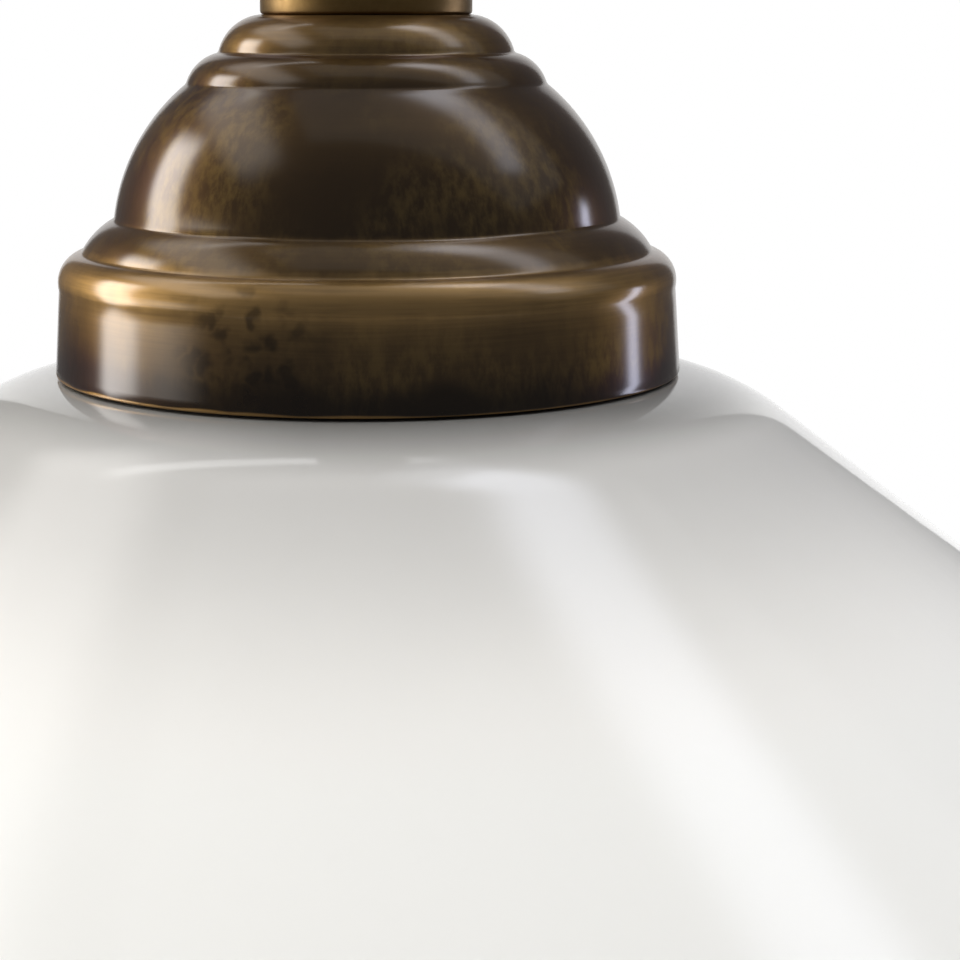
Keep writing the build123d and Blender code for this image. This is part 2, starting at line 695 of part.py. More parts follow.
# Hollow thread, washer and nut that clamp the swivel, the neck and the cap, and carry the lamp holder
HEAD_NIPPLE_TOP = NECK_TOP + SWIVEL_NIPPLE_HOLD
head_nipple = tube(head_level(HUB_BOTTOM), THREAD_R, THREAD_BORE_R, HEAD_NIPPLE_TOP - HUB_BOTTOM)
finish(head_nipple, "head_nipple")
finish(lock_washer(head_level(CAP_NUT_Z + NUT_T)), "cap_lock_washer")
finish(lock_nut(head_level(CAP_NUT_Z)), "cap_lock_nut")

# Dome of the lamp holder, screwed on the hollow thread
DOME_WALL_TOP = HUB_BOTTOM - DOME_TAPER_H
holder_dome = turned(
    HEAD_SECTION,
    HEAD_AXIS,
    [
        (DOME_R, FLANGE_TOP),
        (DOME_R, DOME_WALL_TOP + SHEET),
        (HUB_R, HUB_BOTTOM + SHEET),
        (HUB_R, HUB_TOP),
        (THREAD_HOLE_R, HUB_TOP),
        (THREAD_HOLE_R, HUB_BOTTOM),
        (HUB_R - SHEET, HUB_BOTTOM),
        (DOME_R - SHEET, DOME_WALL_TOP),
        (DOME_R - SHEET, FLANGE_TOP),
    ],
)
finish(holder_dome, "holder_dome")

# Skirt of the lamp holder with the flange above the glass and a ledge for the ceramic core
holder_shell = turned(
    HEAD_SECTION,
    HEAD_AXIS,
    [
        (SKIRT_BORE_R, FLANGE_TOP),
        (FLANGE_R, FLANGE_TOP),
        (FLANGE_R, FLANGE_Z),
        (SKIRT_R, FLANGE_Z),
        (SKIRT_R, SKIRT_BOTTOM),
        (CORE_BORE_R + FIT, SKIRT_BOTTOM),
        (CORE_BORE_R + FIT, CORE_BOTTOM),
        (SKIRT_BORE_R, CORE_BOTTOM),
    ],
)
finish(holder_shell, "holder_shell")

# Ceramic core, a cup round the screw shell
holder_core = turned(
    HEAD_SECTION,
    HEAD_AXIS,
    [
        (0, CORE_TOP),
        (CORE_R_OUT, CORE_TOP),
        (CORE_R_OUT, CORE_BOTTOM),
        (CORE_BORE_R, CORE_BOTTOM),
        (CORE_BORE_R, CORE_FLOOR),
        (0, CORE_FLOOR),
    ],
)
finish(holder_core, "holder_core")
screw_shell = tube(head_level(CORE_BOTTOM), SHELL_R, SHELL_BORE_R, CORE_FLOOR - CORE_BOTTOM)
finish(screw_shell, "screw_shell")

# Sprung contact under the floor of the core
with BuildPart() as centre_contact:
    with BuildSketch(head_level(CORE_FLOOR)):
        Circle(CONTACT_PLATE_R)
    extrude(amount=-CONTACT_PLATE_T)
    with BuildSketch(head_level(CORE_FLOOR - CONTACT_PLATE_T)):
        Circle(CONTACT_BUMP_R)
    extrude(amount=-CONTACT_BUMP_H)
finish(centre_contact, "centre_contact")

# Terminals on top of the core and their screws
TERMINAL_HOLE_Z = CORE_TOP + HOLDER_TERMINAL_H / 2
with BuildPart() as holder_terminals:
    with BuildSketch(head_level(CORE_TOP)):
        with GridLocations(2 * HOLDER_TERMINAL_X, 0, 2, 1):
            Rectangle(HOLDER_TERMINAL_L, HOLDER_TERMINAL_L)
            Circle(CORE_R + FIT, mode=Mode.SUBTRACT)
    extrude(amount=HOLDER_TERMINAL_H)
finish(holder_terminals, "holder_terminals")
with BuildPart() as holder_terminal_screws:
    for side in (-1, 1):
        outer_side = Plane(
            origin=(side * (HOLDER_TERMINAL_X + HOLDER_TERMINAL_L / 2), -REACH, RIM_Z + TERMINAL_HOLE_Z),
            x_dir=(0, 1, 0),
            z_dir=(side, 0, 0),
        )
        with BuildSketch(outer_side):
            Circle(HOLDER_SCREW_R)
        extrude(amount=HOLDER_SCREW_HEAD_T)
finish(holder_terminal_screws, "holder_terminal_screws")

# Flex in the head and its two cores
HEAD_FLEX_END = HUB_BOTTOM - FLEX_TAIL
finish(tube(head_level(HEAD_FLEX_END), FLEX_R, 0, HEAD_NIPPLE_TOP - HEAD_FLEX_END), "head_flex")
for side, core_name in ((-1, "head_live_core"), (1, "head_neutral_core")):
    core_corners = [
        (side * CORE_SPREAD, -REACH, RIM_Z + HEAD_FLEX_END),
        (side * CORE_SPREAD, -REACH, RIM_Z + HEAD_FLEX_END - CORE_LEAD),
        (side * HOLDER_TERMINAL_X, -REACH, RIM_Z + HEAD_FLEX_END - CORE_LEAD),
        (side * HOLDER_TERMINAL_X, -REACH, RIM_Z + TERMINAL_HOLE_Z),
    ]
    finish(swept(core_corners, CORE_BEND_R, CORE_R), core_name)

# Silicone washers above and below the glass
finish(tube(head_level(GLASS_TOP), GASKET_R, SKIRT_R + FIT, GASKET_T), "upper_gasket")
finish(tube(head_level(LOWER_GASKET_Z), GASKET_R, SKIRT_R + HOLE_PLAY, GASKET_T), "lower_gasket")

# Opal glass shade of even thickness with fire-polished edges
with BuildPart() as glass_shade:
    with BuildSketch(HEAD_SECTION):
        with BuildLine():
            outside = FilletPolyline(
                (GLASS_HOLE_R, GLASS_TOP),
                (GLASS_FLAT_R, GLASS_TOP),
                (GLASS_SHOULDER_R, GLASS_SHOULDER_Z),
                (GLASS_R, GLASS_CORNER_Z),
                (GLASS_R, GLASS_CORNER_Z - GLASS_LIP_H),
                radius=[GLASS_FLAT_BLEND, GLASS_SHOULDER_BLEND, GLASS_LIP_BLEND],
            )
            offset(outside, amount=GLASS_T, side=Side.RIGHT)
        make_face()
    revolve(axis=HEAD_AXIS)
    lip_edges = glass_shade.edges().group_by(Axis.Z)[0]
    hole_edges = glass_shade.edges().filter_by(GeomType.CIRCLE).sort_by(SortBy.RADIUS)[:2]
    fillet([*lip_edges, *hole_edges], GLASS_EDGE_ROUND)
finish(glass_shade, "glass_shade")

# Threaded ring that holds the glass up against the flange
SHADE_RING_TOP = LOWER_GASKET_Z
with BuildPart() as shade_ring:
    with BuildSketch(head_level(SHADE_RING_TOP)):
        Circle(SHADE_RING_R)
        Circle(SKIRT_R + FIT, mode=Mode.SUBTRACT)
        with PolarLocations(SHADE_RING_R, SHADE_RING_GRIPS):
            Circle(SHADE_RING_GRIP_R, mode=Mode.SUBTRACT)
    extrude(amount=-SHADE_RING_FLANGE_T)
    with BuildSketch(head_level(SHADE_RING_TOP)):
        Circle(SHADE_RING_SLEEVE_R)
        Circle(SKIRT_R + FIT, mode=Mode.SUBTRACT)
    extrude(amount=-SHADE_RING_H)
finish(shade_ring, "shade_ring")

# Bulb: threaded cap, insulator, tip contact and opal globe
finish(
    tube(head_level(BULB_CAP_BOTTOM), BULB_THREAD_R, BULB_THREAD_R - BULB_CAP_T, BULB_CAP_H), "bulb_cap"
)
bulb_insulator = turned(
    HEAD_SECTION,
    HEAD_AXIS,
    [
        (0, BULB_CAP_TOP),
        (BULB_THREAD_R, BULB_CAP_TOP),
        (BULB_TIP_R, BULB_CAP_TOP + BULB_INSULATOR_H),
        (0, BULB_CAP_TOP + BULB_INSULATOR_H),
    ],
)
finish(bulb_insulator, "bulb_insulator")
finish(tube(head_level(BULB_TIP_Z - BULB_TIP_H), BULB_TIP_R, 0, BULB_TIP_H), "bulb_contact")

BULB_CENTRE_Z = BULB_CAP_BOTTOM - BULB_CENTRE_DROP
SHOULDER_ABOVE_CENTRE = BULB_CENTRE_DROP - BULB_SHOULDER_DROP


def bulb_line(inset):
    """Half section of the globe, drawn in by an inset for its inner side."""
    globe_r = BULB_R - inset
    shoulder = (sqrt(globe_r**2 - SHOULDER_ABOVE_CENTRE**2), BULB_CENTRE_Z + SHOULDER_ABOVE_CENTRE)
    neck = Line((BULB_NECK_R - inset, BULB_CAP_BOTTOM), shoulder)
    bottom = (0, BULB_CENTRE_Z - globe_r)
    ThreePointArc(shoulder, (globe_r, BULB_CENTRE_Z), bottom)
    return neck @ 0, bottom


with BuildPart() as bulb_envelope:
    with BuildSketch(HEAD_SECTION):
        with BuildLine():
            outer_neck, outer_bottom = bulb_line(0)
            inner_neck, inner_bottom = bulb_line(BULB_GLASS_T)
            Line(outer_neck, inner_neck)
            Line(outer_bottom, inner_bottom)
        make_face()
    revolve(axis=HEAD_AXIS)
finish(bulb_envelope, "bulb_envelope")
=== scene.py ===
# %% [markdown]
# # A wall lamp in antique brass and opal glass
# The lamp hangs from a swan-neck arm on a wall. A stepped, spun brass cap covers the lamp holder,
# and a cone of glossy white opal glass is held under it by a threaded ring.
# The solids of the lamp are loaded first. They are the frame, and everything made here
# is placed on them in metres, with +Z up and the wall at Y = 0.

# %% Load the solids
import json
import math

import bpy
from mathutils import Matrix, Quaternion, Vector

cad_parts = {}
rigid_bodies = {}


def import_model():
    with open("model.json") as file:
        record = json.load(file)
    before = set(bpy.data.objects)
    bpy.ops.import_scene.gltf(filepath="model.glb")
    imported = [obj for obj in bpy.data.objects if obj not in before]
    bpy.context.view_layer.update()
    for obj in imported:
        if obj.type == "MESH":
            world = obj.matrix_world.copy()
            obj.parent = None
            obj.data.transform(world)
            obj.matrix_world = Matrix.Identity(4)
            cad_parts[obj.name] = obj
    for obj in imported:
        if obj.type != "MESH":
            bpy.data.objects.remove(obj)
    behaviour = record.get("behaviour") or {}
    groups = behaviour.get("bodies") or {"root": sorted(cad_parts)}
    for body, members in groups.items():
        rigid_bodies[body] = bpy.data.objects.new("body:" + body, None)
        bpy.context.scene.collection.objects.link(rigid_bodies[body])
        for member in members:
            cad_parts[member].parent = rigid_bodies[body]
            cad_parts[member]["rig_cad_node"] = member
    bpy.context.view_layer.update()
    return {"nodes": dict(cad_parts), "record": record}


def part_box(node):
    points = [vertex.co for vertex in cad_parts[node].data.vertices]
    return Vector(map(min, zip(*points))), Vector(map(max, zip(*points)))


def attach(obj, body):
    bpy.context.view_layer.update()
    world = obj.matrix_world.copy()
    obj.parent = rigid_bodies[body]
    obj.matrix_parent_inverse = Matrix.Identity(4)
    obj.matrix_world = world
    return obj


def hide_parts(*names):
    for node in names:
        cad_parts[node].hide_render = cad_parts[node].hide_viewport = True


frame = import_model()
nodes = frame["nodes"]

# %% [markdown]
# The head is a body of revolution about an upright axis. Its place is read from the solids:
# the axis runs through the middle of the cap, and heights are counted from the lower edge of its rim.

# %% Axis and heights of the head
MM = 0.001
cap_low, cap_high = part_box("shade_cap")
HEAD = Vector((0.0, (cap_low.y + cap_high.y) / 2, cap_low.z))
WALL = Vector((0.0, 0.0, 0.0))
print("axis of the head at y =", round(HEAD.y, 4), "rim at z =", round(HEAD.z, 4))

# %% [markdown]
# ## Camera
# The picture is a close view of the cap, taken from slightly above it with a long lens.
# A 90 mm lens on a 36 mm sensor, about 35 cm away, gives the same small perspective.

# %% Camera
CAMERA_PLACE = Vector((0.0, -0.3464, 0.0519))
CAMERA_PITCH, CAMERA_PAN = math.radians(78.77), math.radians(-2.66)
LENS, SENSOR = 90, 36
bpy.ops.object.select_all(action="DESELECT")
bpy.ops.object.camera_add(location=HEAD + CAMERA_PLACE, rotation=(CAMERA_PITCH, 0.0, CAMERA_PAN))
camera = bpy.context.active_object
camera.name = "close_view"
camera.data.lens = LENS
camera.data.sensor_width = SENSOR
camera.data.clip_start = 0.01
bpy.context.scene.camera = camera
bpy.context.scene.view_settings.view_transform = "Standard"
print("camera:", tuple(round(v, 3) for v in camera.location))

# %% [markdown]
# ## Colours and nodes
# Colours are written as sRGB hex, as a paint chart gives them, and shaders work in linear light,
# so one function converts them. Another adds a node with its settings and its links,
# so that each material below reads as a list of what it is made of.

# %% Helpers for materials
def linear(hex_colour):
    """Linear RGBA of an sRGB hex colour."""
    channels = [int(hex_colour[place : place + 2], 16) / 255 for place in (1, 3, 5)]
    return [c / 12.92 if c <= 0.04045 else ((c + 0.055) / 1.055) ** 2.4 for c in channels] + [1.0]


def add(tree, kind, settings=None, inputs=None):
    """A node of one kind, with its settings and with values or links on its sockets."""
    made = tree.nodes.new(kind)
    for name, value in (settings or {}).items():
        setattr(made, name, value)
    for socket, value in (inputs or {}).items():
        if isinstance(value, bpy.types.NodeSocket):
            tree.links.new(value, made.inputs[socket])
        else:
            made.inputs[socket].default_value = value
    return made


def blank(name):
    """A new material with an empty node tree and its output."""
    material = bpy.data.materials.new(name)
    material.use_nodes = True
    tree = material.node_tree
    tree.nodes.clear()
    return material, tree, tree.nodes.new("ShaderNodeOutputMaterial")


print("black and white in linear light:", linear("#000000")[0], linear("#ffffff")[0])

# %% [markdown]
# ## Opal glass
# Opal glass is white through and through: light enters, scatters and comes out again,
# and a fire-polished skin of clear glass gives it its wet gloss. A white base with a little
# subsurface scattering and a low roughness does both. Its colour also carries painted shade: the shade
# is a light grey under the cap and turns to a warm white lower down, because less light comes through
# the glass from inside near the cap. A darker grey right under the rim is the painted shadow of the cap.
# Hand-made glass is never quite flat, so a very shallow wave, about 45 mm long, makes the reflections run a
# little.

# %% Opal glass
CLOUD, CLOUD_DRIFT = 30 * MM, 4 * MM
WAVE, WAVE_DEPTH = 45 * MM, 0.25 * MM
# Painted shadow of the cap on the glass right under its rim: its tone and strength, and how it fades towards
# the left
CAP_SHADOW_TONE, CAP_SHADOW_SHARE = "#545350", 0.8
CAP_SHADOW_LEFT, CAP_SHADOW_FRONT, CAP_SHADOW_LEFT_SHARE = -46 * MM, -8 * MM, 0.4


def opal_glass(name, pale_tone, greyer_tone, gloss, scatter_mm, levels=None):
    """Opal glass of two tones, mixed by a cloud noise; where levels are given, they are mixed by height.
    levels gives the heights of the palest glass and of the greyest painted shade,
    and of the lower and upper end of the painted shadow of the cap."""
    material, tree, output = blank(name)
    spot = add(tree, "ShaderNodeTexCoord").outputs["Object"]
    cloud = add(tree, "ShaderNodeTexNoise", inputs={"Vector": spot, "Scale": 1 / CLOUD, "Detail": 3.0})
    share = cloud.outputs["Fac"]
    if levels is not None:
        palest_level, painted_shade_level, shadow_foot, shadow_top = levels
        parts = add(tree, "ShaderNodeSeparateXYZ", inputs={0: spot})
        drift = add(
            tree,
            "ShaderNodeMath",
            {"operation": "MULTIPLY_ADD"},
            {0: share, 1: CLOUD_DRIFT, 2: parts.outputs["Z"]},
        )
        # Painted shade: the glass turns greyer towards the cap, where less light comes through it from inside
        thickness = add(
            tree,
            "ShaderNodeMapRange",
            {"interpolation_type": "SMOOTHERSTEP"},
            {"Value": drift.outputs[0], "From Min": palest_level, "From Max": painted_shade_level},
        )
        share = thickness.outputs[0]
    white = add(
        tree, "ShaderNodeMix", {"data_type": "RGBA"}, {"Factor": share, 6: linear(pale_tone), 7: linear(greyer_tone)}
    )
    colour = white.outputs[2]
    if levels is not None:
        # Painted shadow of the cap on the glass under its rim: darkest at the front and the right, and paler
        # at the left
        cap_shadow = add(
            tree,
            "ShaderNodeMapRange",
            {"interpolation_type": "SMOOTHSTEP"},
            {"Value": parts.outputs["Z"], "From Min": shadow_foot, "From Max": shadow_top, "To Max": CAP_SHADOW_SHARE},
        )
        side = add(
            tree,
            "ShaderNodeMapRange",
            inputs={
                "Value": parts.outputs["X"],
                "From Min": CAP_SHADOW_LEFT,
                "From Max": CAP_SHADOW_FRONT,
                "To Min": CAP_SHADOW_LEFT_SHARE,
            },
        )
        cap_shadow_share = add(
            tree, "ShaderNodeMath", {"operation": "MULTIPLY"}, {0: cap_shadow.outputs[0], 1: side.outputs[0]}
        )
        shaded = add(
            tree,
            "ShaderNodeMix",
            {"data_type": "RGBA"},
            {"Factor": cap_shadow_share.outputs[0], 6: colour, 7: linear(CAP_SHADOW_TONE)},
        )
        colour = shaded.outputs[2]
    wave = add(tree, "ShaderNodeTexNoise", inputs={"Vector": spot, "Scale": 1 / WAVE, "Detail": 1.0})
    skin = add(
        tree,
        "ShaderNodeBump",
        inputs={"Height": wave.outputs["Fac"], "Distance": WAVE_DEPTH, "Strength": 0.5},
    )
    surface = add(
        tree,
        "ShaderNodeBsdfPrincipled",
        inputs={
            "Base Color": colour,
            "Roughness": gloss,
            "IOR": 1.5,
            "Subsurface Weight": 0.4,
            "Subsurface Radius": (1.0, 1.0, 1.0),
            "Subsurface Scale": scatter_mm * MM,
            "Normal": skin.outputs["Normal"],
        },
    )
    tree.links.new(surface.outputs[0], output.inputs["Surface"])
    return material


# Heights in mm of the palest glass, of the greyest painted shade, and of the foot and the top of the painted
# shadow of the cap
GLASS_LEVELS = [HEAD.z + level * MM for level in (-36.0, 6.0, -5.8, 0.6)]
shade_glass = opal_glass("opal_glass_fire_polished", "#f8f6f1", "#c6c4c0", 0.07, 3.0, GLASS_LEVELS)
bulb_glass = opal_glass("opal_glass_frosted", "#f6f5f1", "#f0eee9", 0.35, 1.0)
print("glass:", shade_glass.name, bulb_glass.name)

# %% [markdown]
# ## Antique brass: the patina
# The cap is sheet brass spun over a form, darkened in an acid bath, rubbed back and lacquered.
# To the eye that is a dark brown metal with patches of fine olive mottling and fine rings from the spinning
# tool. The ground comes first: wide patches, in which a finer mottling comes through the brown.
# The mottling is a little longer upright, because the bath ran down the metal.

# %% Patina of the brass
PATINA = {"dark": "#170f08", "brown": "#3a2b19", "olive": "#5a4828", "rubbed": "#8f7246", "gold": "#b08a52"}
TONE = {key: linear(value) for key, value in PATINA.items()}
PATCH, MOTTLE = 14 * MM, 1.6 * MM
UPRIGHT = (1.0, 1.0, 0.45)


def patina(tree, spot):
    """The mottled ground of the brass, with the two noises that its patches and its mottling come from."""
    patches = add(tree, "ShaderNodeTexNoise", inputs={"Vector": spot, "Scale": 1 / PATCH, "Detail": 2.0})
    patch_share = add(
        tree,
        "ShaderNodeMapRange",
        {"interpolation_type": "SMOOTHSTEP"},
        {"Value": patches.outputs["Fac"], "From Min": 0.38, "From Max": 0.66},
    )
    upright = add(tree, "ShaderNodeMapping", inputs={"Vector": spot, "Scale": UPRIGHT})
    mottle = add(
        tree,
        "ShaderNodeTexNoise",
        inputs={"Vector": upright.outputs[0], "Scale": 1 / MOTTLE, "Detail": 4.0, "Roughness": 0.6},
    )
    mottle_share = add(
        tree,
        "ShaderNodeMapRange",
        {"interpolation_type": "SMOOTHSTEP"},
        {"Value": mottle.outputs["Fac"], "From Min": 0.36, "From Max": 0.68, "To Max": 0.9},
    )
    olive_share = add(
        tree,
        "ShaderNodeMath",
        {"operation": "MULTIPLY"},
        {0: patch_share.outputs[0], 1: mottle_share.outputs[0]},
    )
    mottled = add(
        tree,
        "ShaderNodeMix",
        {"data_type": "RGBA"},
        {"Factor": olive_share.outputs[0], 6: TONE["brown"], 7: TONE["olive"]},
    )
    return mottled.outputs[2], patches.outputs["Fac"], mottle.outputs["Fac"]


print("tones of the patina:", ", ".join(PATINA))

# %% [markdown]
# ## Antique brass: wear and painted light on the cap
# The cap is rubbed back more on its shoulders than in its hollows; the golden band on the shoulder of the rim
# is partly this wear and partly a painted highlight from the light above. Towards its front left the cap is
# paler:
# partly wear where it is held and wiped, and partly painted light on the side that the soft box at the left
# lights.
# A colour ramp along the height gives the share of rubbed metal. Its limits are made uneven by drips,
# and it is broken up by the patches and the spinning rings. The foot of the rim
# stood in the bath longest, so a dark band with lumps along its upper limit lies over it.

# %% Wear and painted light on the cap
# Share of rubbed metal by height in mm; the full share on the rim's shoulder, 13.5 to 16.6 mm, is partly wear
# and partly a painted highlight from the light above
CAP_WEAR_AND_SHEEN = [
    (0.0, 0.0), (4.0, 0.03), (7.0, 0.12), (10.0, 0.28), (12.3, 0.55), (13.5, 0.9), (16.6, 1.0), (18.4, 0.15),
    (20.0, 0.12), (21.6, 0.2), (22.4, 0.0), (30.0, 0.0), (36.0, 0.07), (40.8, 0.0), (44.5, 0.2), (50.4, 0.5),
]
DRIP, DRIP_DEPTH, DRIP_MEAN = 2.2 * MM, 1.4 * MM, 0.7
LONG_DRIPS = (1.0, 1.0, 0.12)
LUMP = 7 * MM
BATH_LOW, BATH_TOP = 6 * MM, 10.5 * MM


def rubbed_back_and_lit(tree, spot, height, held, colour, patches, rings):
    """The colour of the cap after rubbing back, with the dark foot of its rim. Its paler front left and the
    golden band on the rim's shoulder are partly painted light.
    """
    runs = add(tree, "ShaderNodeMapping", inputs={"Vector": spot, "Scale": LONG_DRIPS})
    drips = add(
        tree, "ShaderNodeTexNoise", inputs={"Vector": runs.outputs[0], "Scale": 1 / DRIP, "Detail": 2.0}
    )
    uneven = add(
        tree,
        "ShaderNodeMath",
        {"operation": "MULTIPLY_ADD"},
        {0: drips.outputs["Fac"], 1: DRIP_DEPTH, 2: height},
    )
    top = CAP_WEAR_AND_SHEEN[-1][0]
    level = add(
        tree,
        "ShaderNodeMapRange",
        inputs={"Value": uneven.outputs[0], "From Min": DRIP_MEAN * MM, "From Max": (top + DRIP_MEAN) * MM},
    )
    ramp = add(tree, "ShaderNodeValToRGB", inputs={"Fac": level.outputs[0]})
    stops = ramp.color_ramp.elements
    for count, (at, share) in enumerate(CAP_WEAR_AND_SHEEN):
        # A new ramp already has two stops
        stop = stops[count] if count < 2 else stops.new(at / top)
        stop.position = at / top
        stop.color = (share, share, share, 1.0)
    broken = add(
        tree,
        "ShaderNodeMapRange",
        inputs={"Value": patches, "From Min": 0.3, "From Max": 0.7, "To Min": 0.7, "To Max": 1.2},
    )
    lined = add(
        tree,
        "ShaderNodeMapRange",
        inputs={"Value": rings, "From Min": 0.35, "From Max": 0.65, "To Min": 0.85, "To Max": 1.12},
    )
    # Paler towards the front left: partly wear where it is held, partly painted light on the side that the
    # left soft box lights
    held_and_lit_side = add(
        tree,
        "ShaderNodeMapRange",
        inputs={"Value": held, "From Min": -40 * MM, "From Max": 20 * MM, "To Min": 0.35, "To Max": 1.1},
    )
    broken_lines = add(
        tree, "ShaderNodeMath", {"operation": "MULTIPLY"}, {0: broken.outputs[0], 1: lined.outputs[0]}
    )
    uneven_share = add(
        tree, "ShaderNodeMath", {"operation": "MULTIPLY"}, {0: broken_lines.outputs[0], 1: held_and_lit_side.outputs[0]}
    )
    wear_and_sheen_share = add(
        tree,
        "ShaderNodeMath",
        {"operation": "MULTIPLY", "use_clamp": True},
        {0: ramp.outputs["Color"], 1: uneven_share.outputs[0]},
    )
    worn = add(
        tree,
        "ShaderNodeMix",
        {"data_type": "RGBA"},
        {"Factor": wear_and_sheen_share.outputs[0], 6: colour, 7: TONE["rubbed"]},
    )
    lumps = add(
        tree, "ShaderNodeMath", {"operation": "MULTIPLY_ADD"}, {0: patches, 1: LUMP, 2: uneven.outputs[0]}
    )
    stain = add(
        tree,
        "ShaderNodeMapRange",
        {"interpolation_type": "SMOOTHSTEP"},
        {"Value": lumps.outputs[0], "From Min": BATH_LOW, "From Max": BATH_TOP, "To Min": 0.8, "To Max": 0.0},
    )
    stained = add(
        tree,
        "ShaderNodeMix",
        {"data_type": "RGBA"},
        {"Factor": stain.outputs[0], 6: worn.outputs[2], 7: TONE["dark"]},
    )
    return stained.outputs[2]


print("levels of wear:", len(CAP_WEAR_AND_SHEEN), "up to", CAP_WEAR_AND_SHEEN[-1][0], "mm")

# %% [markdown]
# ## Antique brass: dried drops and the bare edge
# Where drops of the bath dried, the metal has dark spots: the cells of a Voronoi texture, pulled out of round
# by a noise, and shown near one place only. Along the lower edge of the rim the brass is rubbed bare.
# That plain gold line is widest at the side that is handled, and breaks up elsewhere.

# %% Dried drops and the bare edge
SPLASH = (-16 * MM, -41 * MM, 7 * MM)
SPLASH_NEAR, SPLASH_FAR = 5 * MM, 13 * MM
DROP, DROP_BEND, DROP_PULL = 3 * MM, 3.5 * MM, 5 * MM
EDGE = 0.55 * MM


def dried_drops(tree, spot, colour):
    """The colour of the cap with the drops that dried round the splash."""
    bend = add(tree, "ShaderNodeTexNoise", inputs={"Vector": spot, "Scale": 1 / DROP_BEND, "Detail": 2.0})
    bent = add(
        tree,
        "ShaderNodeVectorMath",
        {"operation": "MULTIPLY_ADD"},
        {0: bend.outputs["Color"], 1: (DROP_PULL,) * 3, 2: spot},
    )
    cell = add(tree, "ShaderNodeTexVoronoi", inputs={"Vector": bent.outputs[0], "Scale": 1 / DROP})
    drop_share = add(
        tree,
        "ShaderNodeMapRange",
        {"interpolation_type": "SMOOTHSTEP"},
        {"Value": cell.outputs["Distance"], "From Min": 0.2, "From Max": 0.62, "To Min": 0.65, "To Max": 0.0},
    )
    away = add(tree, "ShaderNodeVectorMath", {"operation": "DISTANCE"}, {0: spot, 1: SPLASH})
    near = add(
        tree,
        "ShaderNodeMapRange",
        {"interpolation_type": "SMOOTHSTEP"},
        {
            "Value": away.outputs["Value"],
            "From Min": SPLASH_NEAR,
            "From Max": SPLASH_FAR,
            "To Min": 1.0,
            "To Max": 0.0,
        },
    )
    mask = add(
        tree, "ShaderNodeMath", {"operation": "MULTIPLY"}, {0: drop_share.outputs[0], 1: near.outputs[0]}
    )
    spotted = add(
        tree, "ShaderNodeMix", {"data_type": "RGBA"}, {"Factor": mask.outputs[0], 6: colour, 7: TONE["dark"]}
    )
    return spotted.outputs[2]


def bare_edge(tree, height, held, colour, patches):
    """The colour of the cap with the lower edge of its rim rubbed bare."""
    width = add(
        tree,
        "ShaderNodeMapRange",
        inputs={"Value": held, "From Min": 10 * MM, "From Max": 42 * MM, "To Min": 0.35},
    )
    ragged = add(
        tree,
        "ShaderNodeMapRange",
        inputs={"Value": patches, "From Min": 0.35, "From Max": 0.65, "To Min": 0.45, "To Max": 1.15},
    )
    limit = add(
        tree, "ShaderNodeMath", {"operation": "MULTIPLY"}, {0: width.outputs[0], 1: ragged.outputs[0]}
    )
    level = add(tree, "ShaderNodeMath", {"operation": "DIVIDE"}, {0: height, 1: EDGE})
    over = add(
        tree, "ShaderNodeMath", {"operation": "SUBTRACT"}, {0: level.outputs[0], 1: limit.outputs[0]}
    )
    bare = add(
        tree,
        "ShaderNodeMapRange",
        {"interpolation_type": "SMOOTHSTEP"},
        {"Value": over.outputs[0], "From Min": -0.3, "From Max": 0.3, "To Min": 0.7, "To Max": 0.0},
    )
    rubbed = add(
        tree, "ShaderNodeMix", {"data_type": "RGBA"}, {"Factor": bare.outputs[0], 6: colour, 7: TONE["gold"]}
    )
    return rubbed.outputs[2]


print("drops:", round(DROP / MM, 2), "mm, bare edge:", round(EDGE / MM, 2), "mm")

# %% [markdown]
# ## Antique brass: metal and lacquer
# The brown is a thin oxide, so the metal under it looks dull and only partly metallic: its glow is wide
# and golden. The lacquer is a clear coat. It adds a narrower, paler highlight, and that reads as polish.
# The spinning rings are a noise that is drawn out round the axis, so patterns are laid out along the axis,
# in the piece's own directions.

# %% Metal and lacquer
RING, RING_DEPTH = 0.35 * MM, 0.012 * MM
DRAWN_ROUND = (0.03, 0.03, 1.0)
HELD_SIDE = (-0.8, -0.6, 0.0)
LEVEL = (0.0, 0.0, 0.0)
FACING_ROOM = (math.radians(90), 0.0, 0.0)


